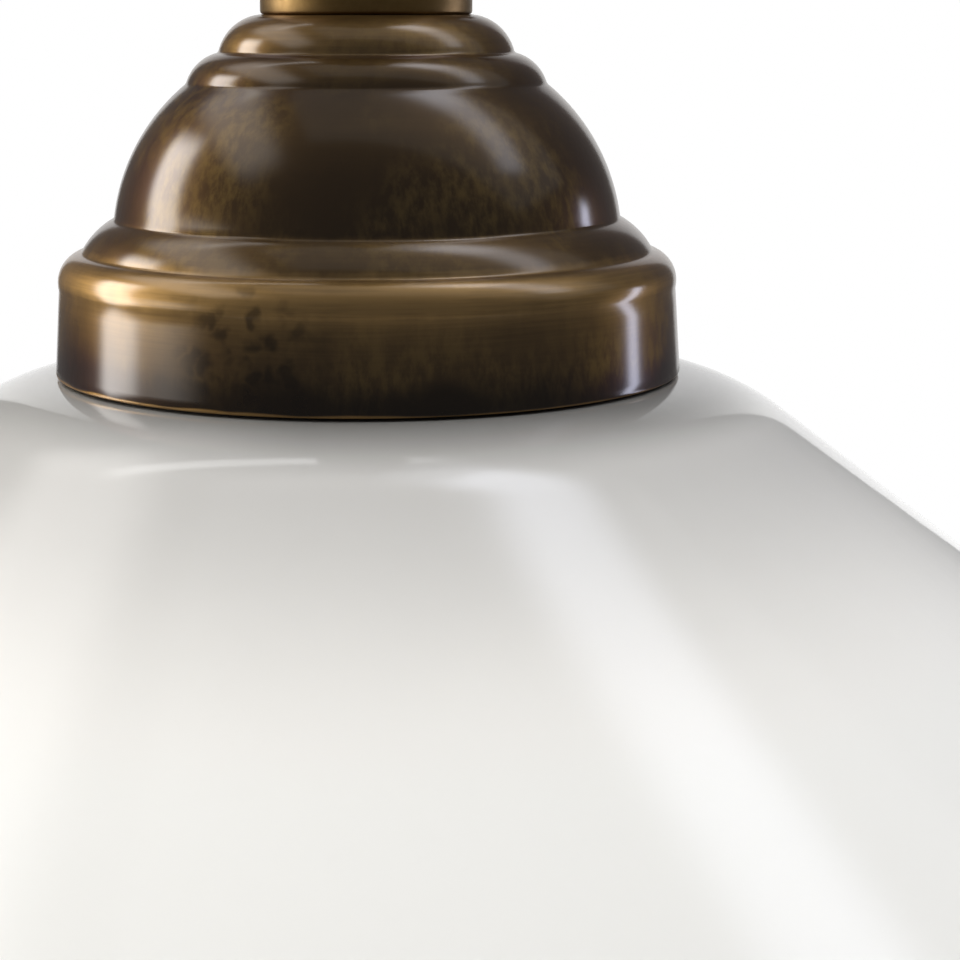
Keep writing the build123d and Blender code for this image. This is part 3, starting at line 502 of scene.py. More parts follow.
def antique_brass(name, axis_place, axis_turn, worn=False):
    """Patinated and lacquered brass, laid out along an axis. The worn one is the brass of the cap."""
    material, tree, output = blank(name)
    place = add(tree, "ShaderNodeTexCoord")
    local = add(
        tree,
        "ShaderNodeMapping",
        {"vector_type": "TEXTURE"},
        {"Vector": place.outputs["Object"], "Location": axis_place, "Rotation": axis_turn},
    )
    spot = local.outputs[0]
    colour, patches, mottle = patina(tree, spot)
    stretch = add(tree, "ShaderNodeMapping", inputs={"Vector": spot, "Scale": DRAWN_ROUND})
    rings = add(
        tree, "ShaderNodeTexNoise", inputs={"Vector": stretch.outputs[0], "Scale": 1 / RING, "Detail": 2.0}
    ).outputs["Fac"]
    if worn:
        height = add(tree, "ShaderNodeSeparateXYZ", inputs={0: spot}).outputs["Z"]
        held = add(
            tree, "ShaderNodeVectorMath", {"operation": "DOT_PRODUCT"}, {0: spot, 1: HELD_SIDE}
        ).outputs["Value"]
        colour = rubbed_back_and_lit(tree, spot, height, held, colour, patches, rings)
        colour = dried_drops(tree, spot, colour)
        colour = bare_edge(tree, height, held, colour, patches)
    grooves = add(tree, "ShaderNodeBump", inputs={"Height": rings, "Distance": RING_DEPTH, "Strength": 0.3})
    rough = add(
        tree,
        "ShaderNodeMapRange",
        inputs={"Value": mottle, "From Min": 0.3, "From Max": 0.7, "To Min": 0.38, "To Max": 0.46},
    )
    surface = add(
        tree,
        "ShaderNodeBsdfPrincipled",
        inputs={
            "Base Color": colour,
            "Metallic": 0.85,
            "Roughness": rough.outputs[0],
            "Specular Tint": linear("#b08a5c"),
            "Coat Weight": 0.78,
            "Coat Roughness": 0.15,
            "Normal": grooves.outputs["Normal"],
        },
    )
    tree.links.new(surface.outputs[0], output.inputs["Surface"])
    return material


cap_brass = antique_brass("antique_brass_spun_cap", HEAD, LEVEL, worn=True)
head_brass = antique_brass("antique_brass_turned", HEAD, LEVEL)
wall_brass = antique_brass("antique_brass_spun_rosette", WALL, FACING_ROOM)
arm_brass = antique_brass("antique_brass_drawn_tube", WALL, FACING_ROOM)
print("brass:", cap_brass.name, head_brass.name, wall_brass.name, arm_brass.name)

# %% [markdown]
# ## Metals, ceramic, rubber and plastic
# The pieces that carry the lamp inside are plain stock: turned brass, zinc-plated steel, glazed porcelain,
# silicone and moulded plastic. Each has two close tones in a fine grain, so that none is one flat colour.

# %% Plain materials
def grained(name, tone, other, grain_mm, metallic, roughness, depth_mm):
    """A plain material of two close tones in a grain of a given size, with a shallow relief."""
    material, tree, output = blank(name)
    spot = add(tree, "ShaderNodeTexCoord").outputs["Object"]
    grain = add(
        tree, "ShaderNodeTexNoise", inputs={"Vector": spot, "Scale": 1 / (grain_mm * MM), "Detail": 4.0}
    )
    colour = add(
        tree,
        "ShaderNodeMix",
        {"data_type": "RGBA"},
        {"Factor": grain.outputs["Fac"], 6: linear(tone), 7: linear(other)},
    )
    rough = add(
        tree,
        "ShaderNodeMapRange",
        inputs={"Value": grain.outputs["Fac"], "To Min": roughness * 0.8, "To Max": roughness * 1.2},
    )
    relief = add(
        tree,
        "ShaderNodeBump",
        inputs={"Height": grain.outputs["Fac"], "Distance": depth_mm * MM, "Strength": 0.4},
    )
    surface = add(
        tree,
        "ShaderNodeBsdfPrincipled",
        inputs={
            "Base Color": colour.outputs[2],
            "Metallic": metallic,
            "Roughness": rough.outputs[0],
            "Normal": relief.outputs["Normal"],
        },
    )
    tree.links.new(surface.outputs[0], output.inputs["Surface"])
    return material


stock = {
    # Brass gives a warm satin gold on the brushed neck, and clear small highlights where it is only turned
    "light_brass": grained("brass_brushed_neck", "#7a623e", "#67512f", 1.2, 1.0, 0.4, 0.02),
    "bright_brass": grained("brass_turned", "#b8935a", "#a37f48", 0.8, 1.0, 0.28, 0.01),
    # Zinc plating gives steel a cool, even grey
    "steel": grained("steel_zinc_plated", "#a9abad", "#989b9e", 1.5, 1.0, 0.35, 0.01),
    # Nylon, rubber and the insulation of the cores are matt, with no more than a dull shine
    "white_nylon": grained("nylon_moulded", "#e4e3dc", "#dad9d2", 0.6, 0.0, 0.45, 0.02),
    "flex_sheath": grained("flex_sheath_rubber", "#1c1c1c", "#252525", 0.4, 0.0, 0.6, 0.03),
    "brown_core": grained("core_insulation_brown", "#5a3a22", "#503218", 0.5, 0.0, 0.5, 0.01),
    "blue_core": grained("core_insulation_blue", "#2c5a9a", "#264f8a", 0.5, 0.0, 0.5, 0.01),
    "green_core": grained("core_insulation_green", "#5c8a2c", "#c8c030", 2.5, 0.0, 0.5, 0.01),
    # Vulcanised fibre is dull and oxide red
    "fibre": grained("vulcanised_fibre", "#7a2f22", "#652519", 0.7, 0.0, 0.7, 0.04),
    # A glaze gives porcelain a wet gloss, and moulded silicone is a soft, cloudy white
    "white_ceramic": grained("porcelain_glazed", "#efece4", "#e6e2d8", 2.0, 0.0, 0.15, 0.02),
    "silicone": grained("silicone_moulded", "#dcdad4", "#d2d0ca", 0.8, 0.0, 0.5, 0.02),
    # The foot of the bulb is pale pressed metal, with glossy black glass round its contact
    "bulb_metal": grained("aluminium_pressed", "#b9babb", "#a9aaab", 1.0, 1.0, 0.3, 0.01),
    "black_glass": grained("glass_black_insulator", "#141414", "#1e1e1e", 0.8, 0.0, 0.15, 0.01),
    "antique_brass": wall_brass,
    "opal_glass": shade_glass,
    "bulb_opal": bulb_glass,
}
finishes = {part["node"]: part["material_slot"] for part in frame["record"]["subparts"]}
for node, solid in nodes.items():
    solid.data.materials.clear()
    solid.data.materials.append(stock[finishes[node]])
nodes["shade_cap"].data.materials[0] = cap_brass
print("finishes on solids:", len(finishes))

# %% [markdown]
# ## Spinning and turning
# Nearly every piece of the lamp is round, because it was spun from sheet or turned from bar.
# So a half section is drawn first, as a chain of points pulled out of one vertex,
# and then spun about the axis. Sections are in millimetres: distance from the axis, and height along it.
# Drawing the section lets each crease stand where the maker's spinning tool would leave it.

# %% Helpers for round pieces
OUT = Vector((1.0, 0.0, 0.0))
UP = Vector((0.0, 0.0, 1.0))
FROM_WALL = Vector((0.0, -1.0, 0.0))
HOLD = 1.5
WELD = 0.001 * MM
SMOOTH_BELOW = math.radians(35)


def bow(start, end, bulge, count=12):
    """Points of a round that stands out from the straight line between two points, start left out."""
    start, end = Vector(start), Vector(end)
    along = (end - start).normalized()
    out = Vector((along.y, -along.x))
    half = (end - start).length / 2
    radius = (half * half + bulge * bulge) / (2 * bulge)
    centre = (start + end) / 2 - out * (radius - bulge)
    sweep = math.asin(half / radius)
    turns = [sweep * (2 * step / count - 1) for step in range(1, count + 1)]
    return [tuple(centre + radius * (out * math.cos(t) + along * math.sin(t))) for t in turns]


def quarter(outer, inner, count=12):
    """Points of a quarter round from its outer, lower end to its inner, upper end, start left out."""
    turns = [math.pi / 2 * step / count for step in range(1, count + 1)]
    wide, high = outer[0] - inner[0], inner[1] - outer[1]
    return [(inner[0] + wide * math.cos(t), outer[1] + high * math.sin(t)) for t in turns]


def spun(name, place, axis, section, steps=144):
    """A half section drawn from one vertex and spun about an axis through a place."""
    chain = [section[0]]
    for last, point in zip(section, section[1:]):
        # A long straight run gets a ring near each end, or smooth shading would make it look bowed
        run = Vector(point) - Vector(last)
        if run.length > 3 * HOLD:
            inset = run.normalized() * HOLD
            chain += [tuple(Vector(last) + inset), tuple(Vector(point) - inset)]
        chain.append(point)
    points = [place + MM * (distance * OUT + height * axis) for distance, height in chain]
    bpy.ops.object.select_all(action="DESELECT")
    bpy.ops.mesh.primitive_plane_add(size=MM, location=points[0])
    piece = bpy.context.active_object
    piece.name = name
    bpy.ops.object.mode_set(mode="EDIT")
    bpy.ops.mesh.merge(type="CENTER")
    for last, point in zip(points, points[1:]):
        bpy.ops.mesh.extrude_vertices_move(TRANSFORM_OT_translate={"value": point - last})
    bpy.ops.mesh.select_all(action="SELECT")
    bpy.ops.mesh.spin(steps=steps, angle=2 * math.pi, center=place, axis=axis)
    bpy.ops.mesh.select_all(action="SELECT")
    bpy.ops.mesh.remove_doubles(threshold=WELD)
    bpy.ops.mesh.normals_make_consistent(inside=False)
    bpy.ops.object.mode_set(mode="OBJECT")
    return piece


def shaped(piece, kind, **settings):
    """Add a modifier to a piece and apply it."""
    bpy.context.view_layer.objects.active = piece
    modifier = piece.modifiers.new(kind.lower(), kind)
    for name, value in settings.items():
        setattr(modifier, name, value)
    bpy.ops.object.modifier_apply(modifier=modifier.name)


def softened(piece, width_mm, angle=30, segments=2):
    """Round the creases of a piece that are sharper than an angle."""
    limit = math.radians(angle)
    shaped(piece, "BEVEL", width=width_mm * MM, segments=segments, limit_method="ANGLE", angle_limit=limit)


def settled(piece, node, material):
    """Put a finished piece in the frame: it stands for a solid and moves with the solid's body."""
    bpy.ops.object.select_all(action="DESELECT")
    piece.select_set(True)
    bpy.context.view_layer.objects.active = piece
    bpy.ops.object.transform_apply(location=True, rotation=True, scale=True)
    bpy.ops.object.shade_smooth_by_angle(angle=SMOOTH_BELOW)
    piece.data.materials.clear()
    piece.data.materials.append(material)
    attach(piece, body_of[node])
    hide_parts(node)
    print(piece.name, "stands for", node, "with", len(piece.data.polygons), "faces")


bodies = frame["record"]["behaviour"]["bodies"]
body_of = {node: body for body, members in bodies.items() for node in members}
print("bodies:", {body: len(members) for body, members in bodies.items()})

# %% [markdown]
# ## Stepped cap
# The cap was spun from 1.2 mm brass over a form: a slightly flared rim, a rounded shoulder, a low step,
# a tall bell and two rings up to the neck. Each round meets the next in a crease. The section follows them,
# a Solidify modifier gives the sheet its thickness inwards, and a small bevel takes the edge off the creases,
# because sheet pressed over wood never folds dead sharp.

# %% Stepped cap
SHEET = 1.2
BORE_R, NECK_R, CAP_TOP = 5.05, 15.0, 50.4
cap_section = [(45.0, 0.0), (44.2, 12.1)]
cap_section += bow((44.2, 12.1), (40.9, 17.3), 1.3)
cap_section += bow((40.9, 17.3), (36.2, 21.9), 0.5)
cap_section += bow((36.2, 21.9), (25.6, 40.8), 2.1, 20)
cap_section += bow((25.6, 40.8), (21.0, 45.1), 0.87)
cap_section += bow((21.0, 45.1), (NECK_R, CAP_TOP), 1.3)
cap_section += [(BORE_R, CAP_TOP)]
cap = spun("cap_spun", HEAD, UP, cap_section, steps=180)
shaped(cap, "SOLIDIFY", thickness=SHEET * MM, offset=-1.0, use_even_offset=True)
softened(cap, 0.3, angle=14, segments=3)
settled(cap, "shade_cap", cap_brass)

# %% [markdown]
# ## Glass shade
# The shade is blown opal glass: a flat top round the hole, a shallow shoulder, a straight cone and a short
# upright lip. Its wall is modelled with one thickness; the grey of its top is painted shade in its material.
# The corners of the section are rounded by their own radii, and the cut edges are melted round.

# %% Glass shade
def eased(corners, radii, count=10):
    """A section whose inner corners are rounded by the given radii."""
    points = [corners[0]]
    for before, corner, after, radius in zip(corners, corners[1:], corners[2:], radii):
        at = Vector(corner)
        back = (Vector(before) - at).normalized()
        ahead = (Vector(after) - at).normalized()
        half = back.angle(ahead) / 2
        run = radius / math.tan(half)
        inward = (back + ahead).normalized()
        centre = at + inward * (radius / math.sin(half))
        start, end = at + back * run - centre, at + ahead * run - centre
        turn = math.pi - 2 * half
        for step in range(count + 1):
            share = step / count
            mixed = start * math.sin((1 - share) * turn) + end * math.sin(share * turn)
            points.append(tuple(centre + mixed / math.sin(turn)))
    return points + [corners[-1]]


GLASS_WALL = 3.5
glass_section = eased(
    [(21.0, 0.401), (36.0, 0.401), (53.6, -1.294), (125.0, -55.784), (125.0, -72.784)],
    [12.0, 31.0, 14.0],
)
glass = spun("shade_blown", HEAD, UP, glass_section, steps=180)
shaped(glass, "SOLIDIFY", thickness=GLASS_WALL * MM, offset=-1.0, use_even_offset=True)
softened(glass, 1.2, angle=40, segments=4)
settled(glass, "glass_shade", shade_glass)

# %% [markdown]
# ## Neck
# The neck is a turned sleeve between the cap and the tilting joint. It is a lighter brass than the cap,
# straight at first and tapering to the joint. Its section is a closed loop, so spinning it gives a ring
# with walls all round.

# %% Neck
NECK_SHOULDER, NECK_TOP, NECK_TIP_R = 72.4, 77.4, 9.0
neck_section = [(BORE_R, CAP_TOP), (NECK_R, CAP_TOP), (NECK_R, NECK_SHOULDER)]
neck_section += [(NECK_TIP_R, NECK_TOP), (BORE_R, NECK_TOP), (BORE_R, CAP_TOP)]
neck = spun("neck_turned", HEAD, UP, neck_section, steps=96)
softened(neck, 0.5, angle=20, segments=3)
settled(neck, "neck_sleeve", stock["light_brass"])

# %% [markdown]
# ## Rosette
# The rosette covers the wall fixing. It is spun like the cap, with the same cascade of rounds,
# so its section is drawn the same way, out from the wall. Two holes let the studs through;
# they are cut with a cylinder and a Boolean modifier, as a drill would.

# %% Rosette
ROSETTE_R, ROSETTE_TOP = 57.0, 36.0
STUD_X, STUD_HOLE_R = 43.0, 2.3
rosette_section = [(ROSETTE_R, 0.0), (ROSETTE_R, 9.0)]
rosette_section += quarter((ROSETTE_R, 9.0), (52.0, 14.0))
rosette_section += [(34.0, 14.0)]
rosette_section += quarter((34.0, 14.0), (30.0, 18.0))
rosette_section += bow((30.0, 18.0), (16.0, ROSETTE_TOP), 3.0, 16)
rosette_section += [(BORE_R, ROSETTE_TOP)]
rosette = spun("rosette_spun", WALL, FROM_WALL, rosette_section)
shaped(rosette, "SOLIDIFY", thickness=SHEET * MM, offset=-1.0, use_even_offset=True)
softened(rosette, 0.35, angle=14, segments=3)
for side in (-1, 1):
    bpy.ops.object.select_all(action="DESELECT")
    bpy.ops.mesh.primitive_cylinder_add(
        vertices=32,
        radius=STUD_HOLE_R * MM,
        depth=20 * MM,
        location=(side * STUD_X * MM, -14 * MM, 0.0),
        rotation=FACING_ROOM,
    )
    drill = bpy.context.active_object
    shaped(rosette, "BOOLEAN", operation="DIFFERENCE", object=drill, solver="EXACT")
    bpy.ops.object.select_all(action="DESELECT")
    drill.select_set(True)
    bpy.ops.object.delete()
settled(rosette, "rosette", wall_brass)

# %% [markdown]
# ## Swan-neck arm
# The arm is one brass tube, bent three times. It is modelled as the tube bender works:
# a ring is pulled straight out of the rosette, swung round the centre of each bend,
# and pulled straight again in between. Solidify then gives the tube its wall.

# %% Swan-neck arm
ARM_R, ARM_WALL = 7.0, 1.95
RISE_R, ARCH_R = 40.0, 46.0
RISE_DEG, STEP_DEG = 60, 3
tip = Vector((0.0, -44.0, 0.0))
heading = FROM_WALL.copy()
bpy.ops.object.select_all(action="DESELECT")
bpy.ops.mesh.primitive_circle_add(vertices=48, radius=ARM_R * MM, location=tip * MM, rotation=FACING_ROOM)
arm = bpy.context.active_object
arm.name = "arm_bent"
bpy.ops.object.mode_set(mode="EDIT")
bpy.ops.mesh.select_all(action="SELECT")


def pulled(run):
    """Pull the open end of the tube straight on by a run."""
    global tip
    bpy.ops.mesh.extrude_region_move(TRANSFORM_OT_translate={"value": heading * run * MM})
    tip = tip + heading * run


def swung(radius, degrees):
    """Swing the open end of the tube up, or down where the angle is negative, round a bend."""
    global tip, heading
    turn = math.radians(degrees)
    to_centre = Vector((0.0, heading.z, -heading.y)) * math.copysign(radius, degrees)
    centre = tip + to_centre
    bpy.ops.mesh.spin(steps=abs(degrees) // STEP_DEG, angle=turn, center=centre * MM, axis=OUT)
    swing = Quaternion(OUT, -turn)
    tip = centre - swing @ to_centre
    heading = swing @ heading


pulled(36.522)
swung(RISE_R, RISE_DEG)
pulled(14.0)
swung(ARCH_R, -RISE_DEG)
pulled(2.0)
swung(ARCH_R, -90)
pulled(22.0)
bpy.ops.mesh.select_all(action="SELECT")
bpy.ops.mesh.remove_doubles(threshold=WELD)
bpy.ops.mesh.normals_make_consistent(inside=False)
bpy.ops.object.mode_set(mode="OBJECT")
shaped(arm, "SOLIDIFY", thickness=ARM_WALL * MM, offset=-1.0, use_even_offset=True)
settled(arm, "arm_tube", arm_brass)
print("arm ends at", tuple(round(v, 3) for v in tip), "mm, heading", tuple(round(v, 3) for v in heading))

# %% [markdown]
# ## Collars of the arm
# A bell-shaped collar seats the arm on the rosette, and a straight one with a groove closes its other end.
# Both are turned from bar, so each is a closed section that is spun, with its edges broken by a file.

# %% Collars of the arm
COLLAR_R, COLLAR_TIP_R, COLLAR_TOP = 14.0, 9.5, 46.0
SOCKET_R, SOCKET_FOOT = 7.05, 44.0
collar_section = [(BORE_R, ROSETTE_TOP), (COLLAR_R, ROSETTE_TOP), (COLLAR_R, ROSETTE_TOP + 2.0)]
collar_section += quarter((COLLAR_R, ROSETTE_TOP + 2.0), (COLLAR_TIP_R, COLLAR_TOP), 16)
collar_section += [(SOCKET_R, COLLAR_TOP), (SOCKET_R, SOCKET_FOOT), (BORE_R, SOCKET_FOOT)]
collar_section += [(BORE_R, ROSETTE_TOP)]
arm_collar = spun("arm_collar_turned", WALL, FROM_WALL, collar_section, steps=96)
softened(arm_collar, 0.35)
settled(arm_collar, "arm_collar", wall_brass)
low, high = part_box("arm_end_collar")
end_place = Vector((0.0, HEAD.y, low.z))
end_height = (high.z - low.z) / MM
GROOVE_FOOT, GROOVE_TOP, GROOVE_IN = 2.0, 4.0, 0.3
groove_r = COLLAR_TIP_R - 0.4
end_section = [(SOCKET_R, 0.0), (COLLAR_TIP_R, 0.0), (COLLAR_TIP_R, GROOVE_FOOT)]
end_section += [(groove_r, GROOVE_FOOT + GROOVE_IN), (groove_r, GROOVE_TOP - GROOVE_IN)]
end_section += [(COLLAR_TIP_R, GROOVE_TOP), (COLLAR_TIP_R, end_height), (SOCKET_R, end_height)]
end_section += [(SOCKET_R, 0.0)]
end_collar = spun("arm_end_collar_turned", end_place, UP, end_section, steps=96)
softened(end_collar, 0.3)
settled(end_collar, "arm_end_collar", head_brass)

# %% [markdown]
# ## Cast and milled pieces
# The two halves of the tilting joint, the pivot screw, the domed nuts and the threaded ring are not round
# all over. Their solids already have the right shape, with dead sharp edges. A copy of each is merged
# into one skin and its edges are broken, so that they catch a line of light as worked metal does.

# %% Cast and milled pieces
def worked(node, name, width_mm, material):
    """A copy of a solid with its edges broken."""
    bpy.ops.object.select_all(action="DESELECT")
    nodes[node].select_set(True)
    bpy.context.view_layer.objects.active = nodes[node]
    bpy.ops.object.duplicate()
    piece = bpy.context.active_object
    piece.name = name
    del piece["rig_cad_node"]
    bpy.ops.object.mode_set(mode="EDIT")
    bpy.ops.mesh.select_all(action="SELECT")
    bpy.ops.mesh.customdata_custom_splitnormals_clear()
    bpy.ops.mesh.remove_doubles(threshold=WELD)
    bpy.ops.mesh.dissolve_limited(angle_limit=math.radians(0.5))
    bpy.ops.object.mode_set(mode="OBJECT")
    softened(piece, width_mm, angle=32)
    settled(piece, node, material)


worked("swivel_upper", "swivel_upper_cast", 0.6, head_brass)
worked("swivel_lower", "swivel_lower_cast", 0.6, head_brass)
worked("pivot_screw", "pivot_screw_slotted", 0.25, stock["bright_brass"])
worked("rosette_cap_nuts", "rosette_nuts_domed", 0.3, wall_brass)
worked("shade_ring", "shade_ring_scalloped", 0.4, stock["bright_brass"])

# %% [markdown]
# ## Thumb nut
# The thumb nut clamps the tilting joint. Its edge is cut with twenty grooves for the fingers.
# A ring of eighty points is widened into a disc with a hole and pulled out to its thickness;
# then every fourth edge across its rim is drawn in to make the grooves.

# %% Thumb nut
NUT_R, NUT_BORE_R, NUT_T = 8.0, 2.05, 6.0
GROOVES, GROOVE_DEPTH = 20, 0.65
low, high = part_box("thumb_nut")
nut_place = Vector((high.x, (low.y + high.y) / 2, (low.z + high.z) / 2))
bpy.ops.object.select_all(action="DESELECT")
bpy.ops.mesh.primitive_circle_add(
    vertices=4 * GROOVES, radius=NUT_BORE_R * MM, location=nut_place, rotation=(0.0, math.radians(90), 0.0)
)
nut = bpy.context.active_object
nut.name = "thumb_nut_grooved"
bpy.ops.object.mode_set(mode="EDIT")
bpy.ops.mesh.select_all(action="SELECT")
bpy.ops.mesh.extrude_edges_move(TRANSFORM_OT_translate={"value": (0.0, 0.0, 0.0)})
bpy.ops.transform.resize(value=(1.0, NUT_R / NUT_BORE_R, NUT_R / NUT_BORE_R), center_override=nut_place)
bpy.ops.mesh.select_all(action="SELECT")
bpy.ops.mesh.extrude_region_move(TRANSFORM_OT_translate={"value": OUT * (-NUT_T * MM)})
bpy.ops.mesh.select_all(action="SELECT")
bpy.ops.mesh.normals_make_consistent(inside=False)
bpy.ops.mesh.select_all(action="DESELECT")
bpy.ops.object.mode_set(mode="OBJECT")
for vertex in nut.data.vertices:
    reach = math.hypot(vertex.co.x, vertex.co.y)
    place = math.degrees(math.atan2(vertex.co.y, vertex.co.x)) * GROOVES * 4 / 360
    vertex.select = reach > (NUT_R - 0.1) * MM and round(place) % 4 == 0
bpy.ops.object.mode_set(mode="EDIT")
draw_in = (NUT_R - GROOVE_DEPTH) / NUT_R
bpy.ops.transform.resize(value=(1.0, draw_in, draw_in), center_override=nut_place)
bpy.ops.object.mode_set(mode="OBJECT")
softened(nut, 0.3, angle=50)
settled(nut, "thumb_nut", head_brass)

# %% [markdown]
# ## Lamp holder with its thread
# The skirt of the lamp holder carries the thread for the ring of the shade, with a pitch of 2.5 mm.
# The skirt and its flange are spun. The thread is one ridge that a Screw modifier winds round the skirt;
# it is cut level at both ends, and its open ends are drawn into the skirt.

# %% Lamp holder with its thread
PITCH = 2.5
CREST_R, ROOT_R = 19.75, 19.1
FLANGE_R, FLANGE_TOP, FLANGE_FOOT, SKIRT_FOOT = 27.0, 3.901, 1.401, -20.599
SKIRT_BORE_R, MOUTH_R, MOUTH_TOP = 17.75, 13.75, -18.099
THREAD_TOP, THREAD_FOOT = 0.6, -19.4
holder_section = [(SKIRT_BORE_R, FLANGE_TOP), (FLANGE_R, FLANGE_TOP), (FLANGE_R, FLANGE_FOOT)]
holder_section += [(ROOT_R, FLANGE_FOOT), (ROOT_R, SKIRT_FOOT), (MOUTH_R, SKIRT_FOOT)]
holder_section += [(MOUTH_R, MOUTH_TOP), (SKIRT_BORE_R, MOUTH_TOP), (SKIRT_BORE_R, FLANGE_TOP)]
holder = spun("holder_threaded", HEAD, UP, holder_section, steps=96)
softened(holder, 0.3)
ridge = [(ROOT_R, 0.0), (CREST_R, 0.75), (CREST_R, 1.15), (ROOT_R, 1.9), (ROOT_R, PITCH)]
bpy.ops.object.select_all(action="DESELECT")
bpy.ops.mesh.primitive_plane_add(size=MM, location=(ridge[0][0] * MM, 0.0, 0.0))
thread = bpy.context.active_object
bpy.ops.object.mode_set(mode="EDIT")
bpy.ops.mesh.merge(type="CENTER")
for last, point in zip(ridge, ridge[1:]):
    move = Vector((point[0] - last[0], 0.0, point[1] - last[1])) * MM
    bpy.ops.mesh.extrude_vertices_move(TRANSFORM_OT_translate={"value": move})
bpy.ops.object.mode_set(mode="OBJECT")
bpy.ops.object.transform_apply(location=True, rotation=True, scale=True)
shaped(
    thread,
    "SCREW",
    axis="Z",
    screw_offset=PITCH * MM,
    iterations=10,
    steps=72,
    render_steps=72,
    use_merge_vertices=True,
    merge_threshold=WELD,
)
thread.location = HEAD + UP * ((THREAD_FOOT - PITCH) * MM)
bpy.ops.object.transform_apply(location=True, rotation=True, scale=True)
bpy.ops.object.mode_set(mode="EDIT")
for level, facing in ((THREAD_FOOT, -1), (THREAD_TOP, 1)):
    bpy.ops.mesh.select_all(action="SELECT")
    bpy.ops.mesh.bisect(
        plane_co=HEAD + UP * (level * MM), plane_no=UP * facing, clear_outer=True, threshold=0.0001 * MM
    )
    bpy.ops.mesh.extrude_edges_move(TRANSFORM_OT_translate={"value": (0.0, 0.0, 0.0)})
    sunk = (ROOT_R - 0.8) / CREST_R
    bpy.ops.transform.resize(value=(sunk, sunk, 1.0), center_override=HEAD)
bpy.ops.mesh.select_all(action="SELECT")
bpy.ops.mesh.normals_make_consistent(inside=False)
bpy.ops.object.mode_set(mode="OBJECT")
bpy.ops.object.select_all(action="DESELECT")
thread.select_set(True)
holder.select_set(True)
bpy.context.view_layer.objects.active = holder
bpy.ops.object.join()
settled(holder, "holder_shell", stock["bright_brass"])

# %% [markdown]
# ## Light
# A soft box stands at the left and a narrower, cooler one at the right, both a little behind the lamp:
# they draw the upright highlights on the rim and the bell. A weak glow and a halo round the left box
# make its highlight fade out softly. Overhead hangs a long strip, bright in its middle, fading to its edges
# and brighter at its near end, which makes the soft streak down the glass. A faint diffuser above it,
# with a brighter back edge, draws the thin line under the cap.
# Two more lights only fill: they brighten the white glass, but they aren't mirrored, as if a polarising
# filter took their reflections off the brass. The left box is split in the same way, into one light
# that is mirrored and a weaker one that fills, because at full brightness it would bleach the glass.
# A lamp's power is worked out from the brightness wanted on its face, because that is what gloss mirrors.

# %% Lights
WARM, COOL, COOLER = "#fffcf8", "#eff3ff", "#e4e8ff"
LEFT_TILT, STRIP_RUN, ALONG = (0.28, 0.9, -0.42), (0.933, -0.359, 0.0), (1.0, 0.0, 0.0)
SKY_LEVEL = 0.15


def panel(
    name, place, wide, width, height, brightness, tint="#ffffff", fade=(0.0, 0.0), mirrored=True, spreads=True
):
    """A rectangular light at a place beside the head, facing it, with a given brightness on its face.
    One that isn't mirrored only fills, and one that doesn't spread is only mirrored."""
    back = Vector(place).normalized()
    across = (Vector(wide) - back * back.dot(Vector(wide))).normalized()
    turn = Matrix((across, back.cross(across), back)).transposed()
    bpy.ops.object.select_all(action="DESELECT")
    bpy.ops.object.light_add(type="AREA", location=HEAD + Vector(place), rotation=turn.to_euler())
    light = bpy.context.active_object
    light.name = name
    light.data.shape = "RECTANGLE"
    light.data.size = width
    light.data.size_y = height
    light.data.energy = math.pi * width * height * brightness
    light.data.color = linear(tint)[:3]
    light.visible_camera = False
    light.visible_glossy = mirrored
    light.visible_diffuse = spreads
    if max(fade) > 0:
        light.data.use_nodes = True
        tree = light.data.node_tree
        spot = add(tree, "ShaderNodeNewGeometry")
        centred = add(
            tree,
            "ShaderNodeVectorMath",
            {"operation": "MULTIPLY_ADD"},
            {0: spot.outputs["Parametric"], 1: (2.0, 2.0, 0.0), 2: (-1.0, -1.0, 0.0)},
        )
        outward = add(tree, "ShaderNodeVectorMath", {"operation": "ABSOLUTE"}, {0: centred.outputs[0]})
        sides = add(tree, "ShaderNodeSeparateXYZ", inputs={0: outward.outputs[0]})
        shares = []
        for side, soft in zip("XY", fade):
            # The range ends a hair beyond the rim, so that it isn't empty where an edge is hard
            share = add(
                tree,
                "ShaderNodeMapRange",
                {"interpolation_type": "SMOOTHSTEP"},
                {
                    "Value": sides.outputs[side],
                    "From Min": 1 - soft,
                    "From Max": 1.001,
                    "To Min": 1.0,
                    "To Max": 0.0,
                },
            )
            shares.append(share.outputs[0])
        both = add(tree, "ShaderNodeMath", {"operation": "MULTIPLY"}, {0: shares[0], 1: shares[1]})
        tree.links.new(both.outputs[0], tree.nodes["Emission"].inputs["Strength"])


def beside(azimuth, elevation, distance):
    """A place seen from the head: azimuth 0 is in front of it, 90 at its right."""
    turn, lift = math.radians(azimuth), math.radians(elevation)
    return Vector(
        (math.sin(turn) * math.cos(lift), -math.cos(turn) * math.cos(lift), math.sin(lift))
    ) * distance


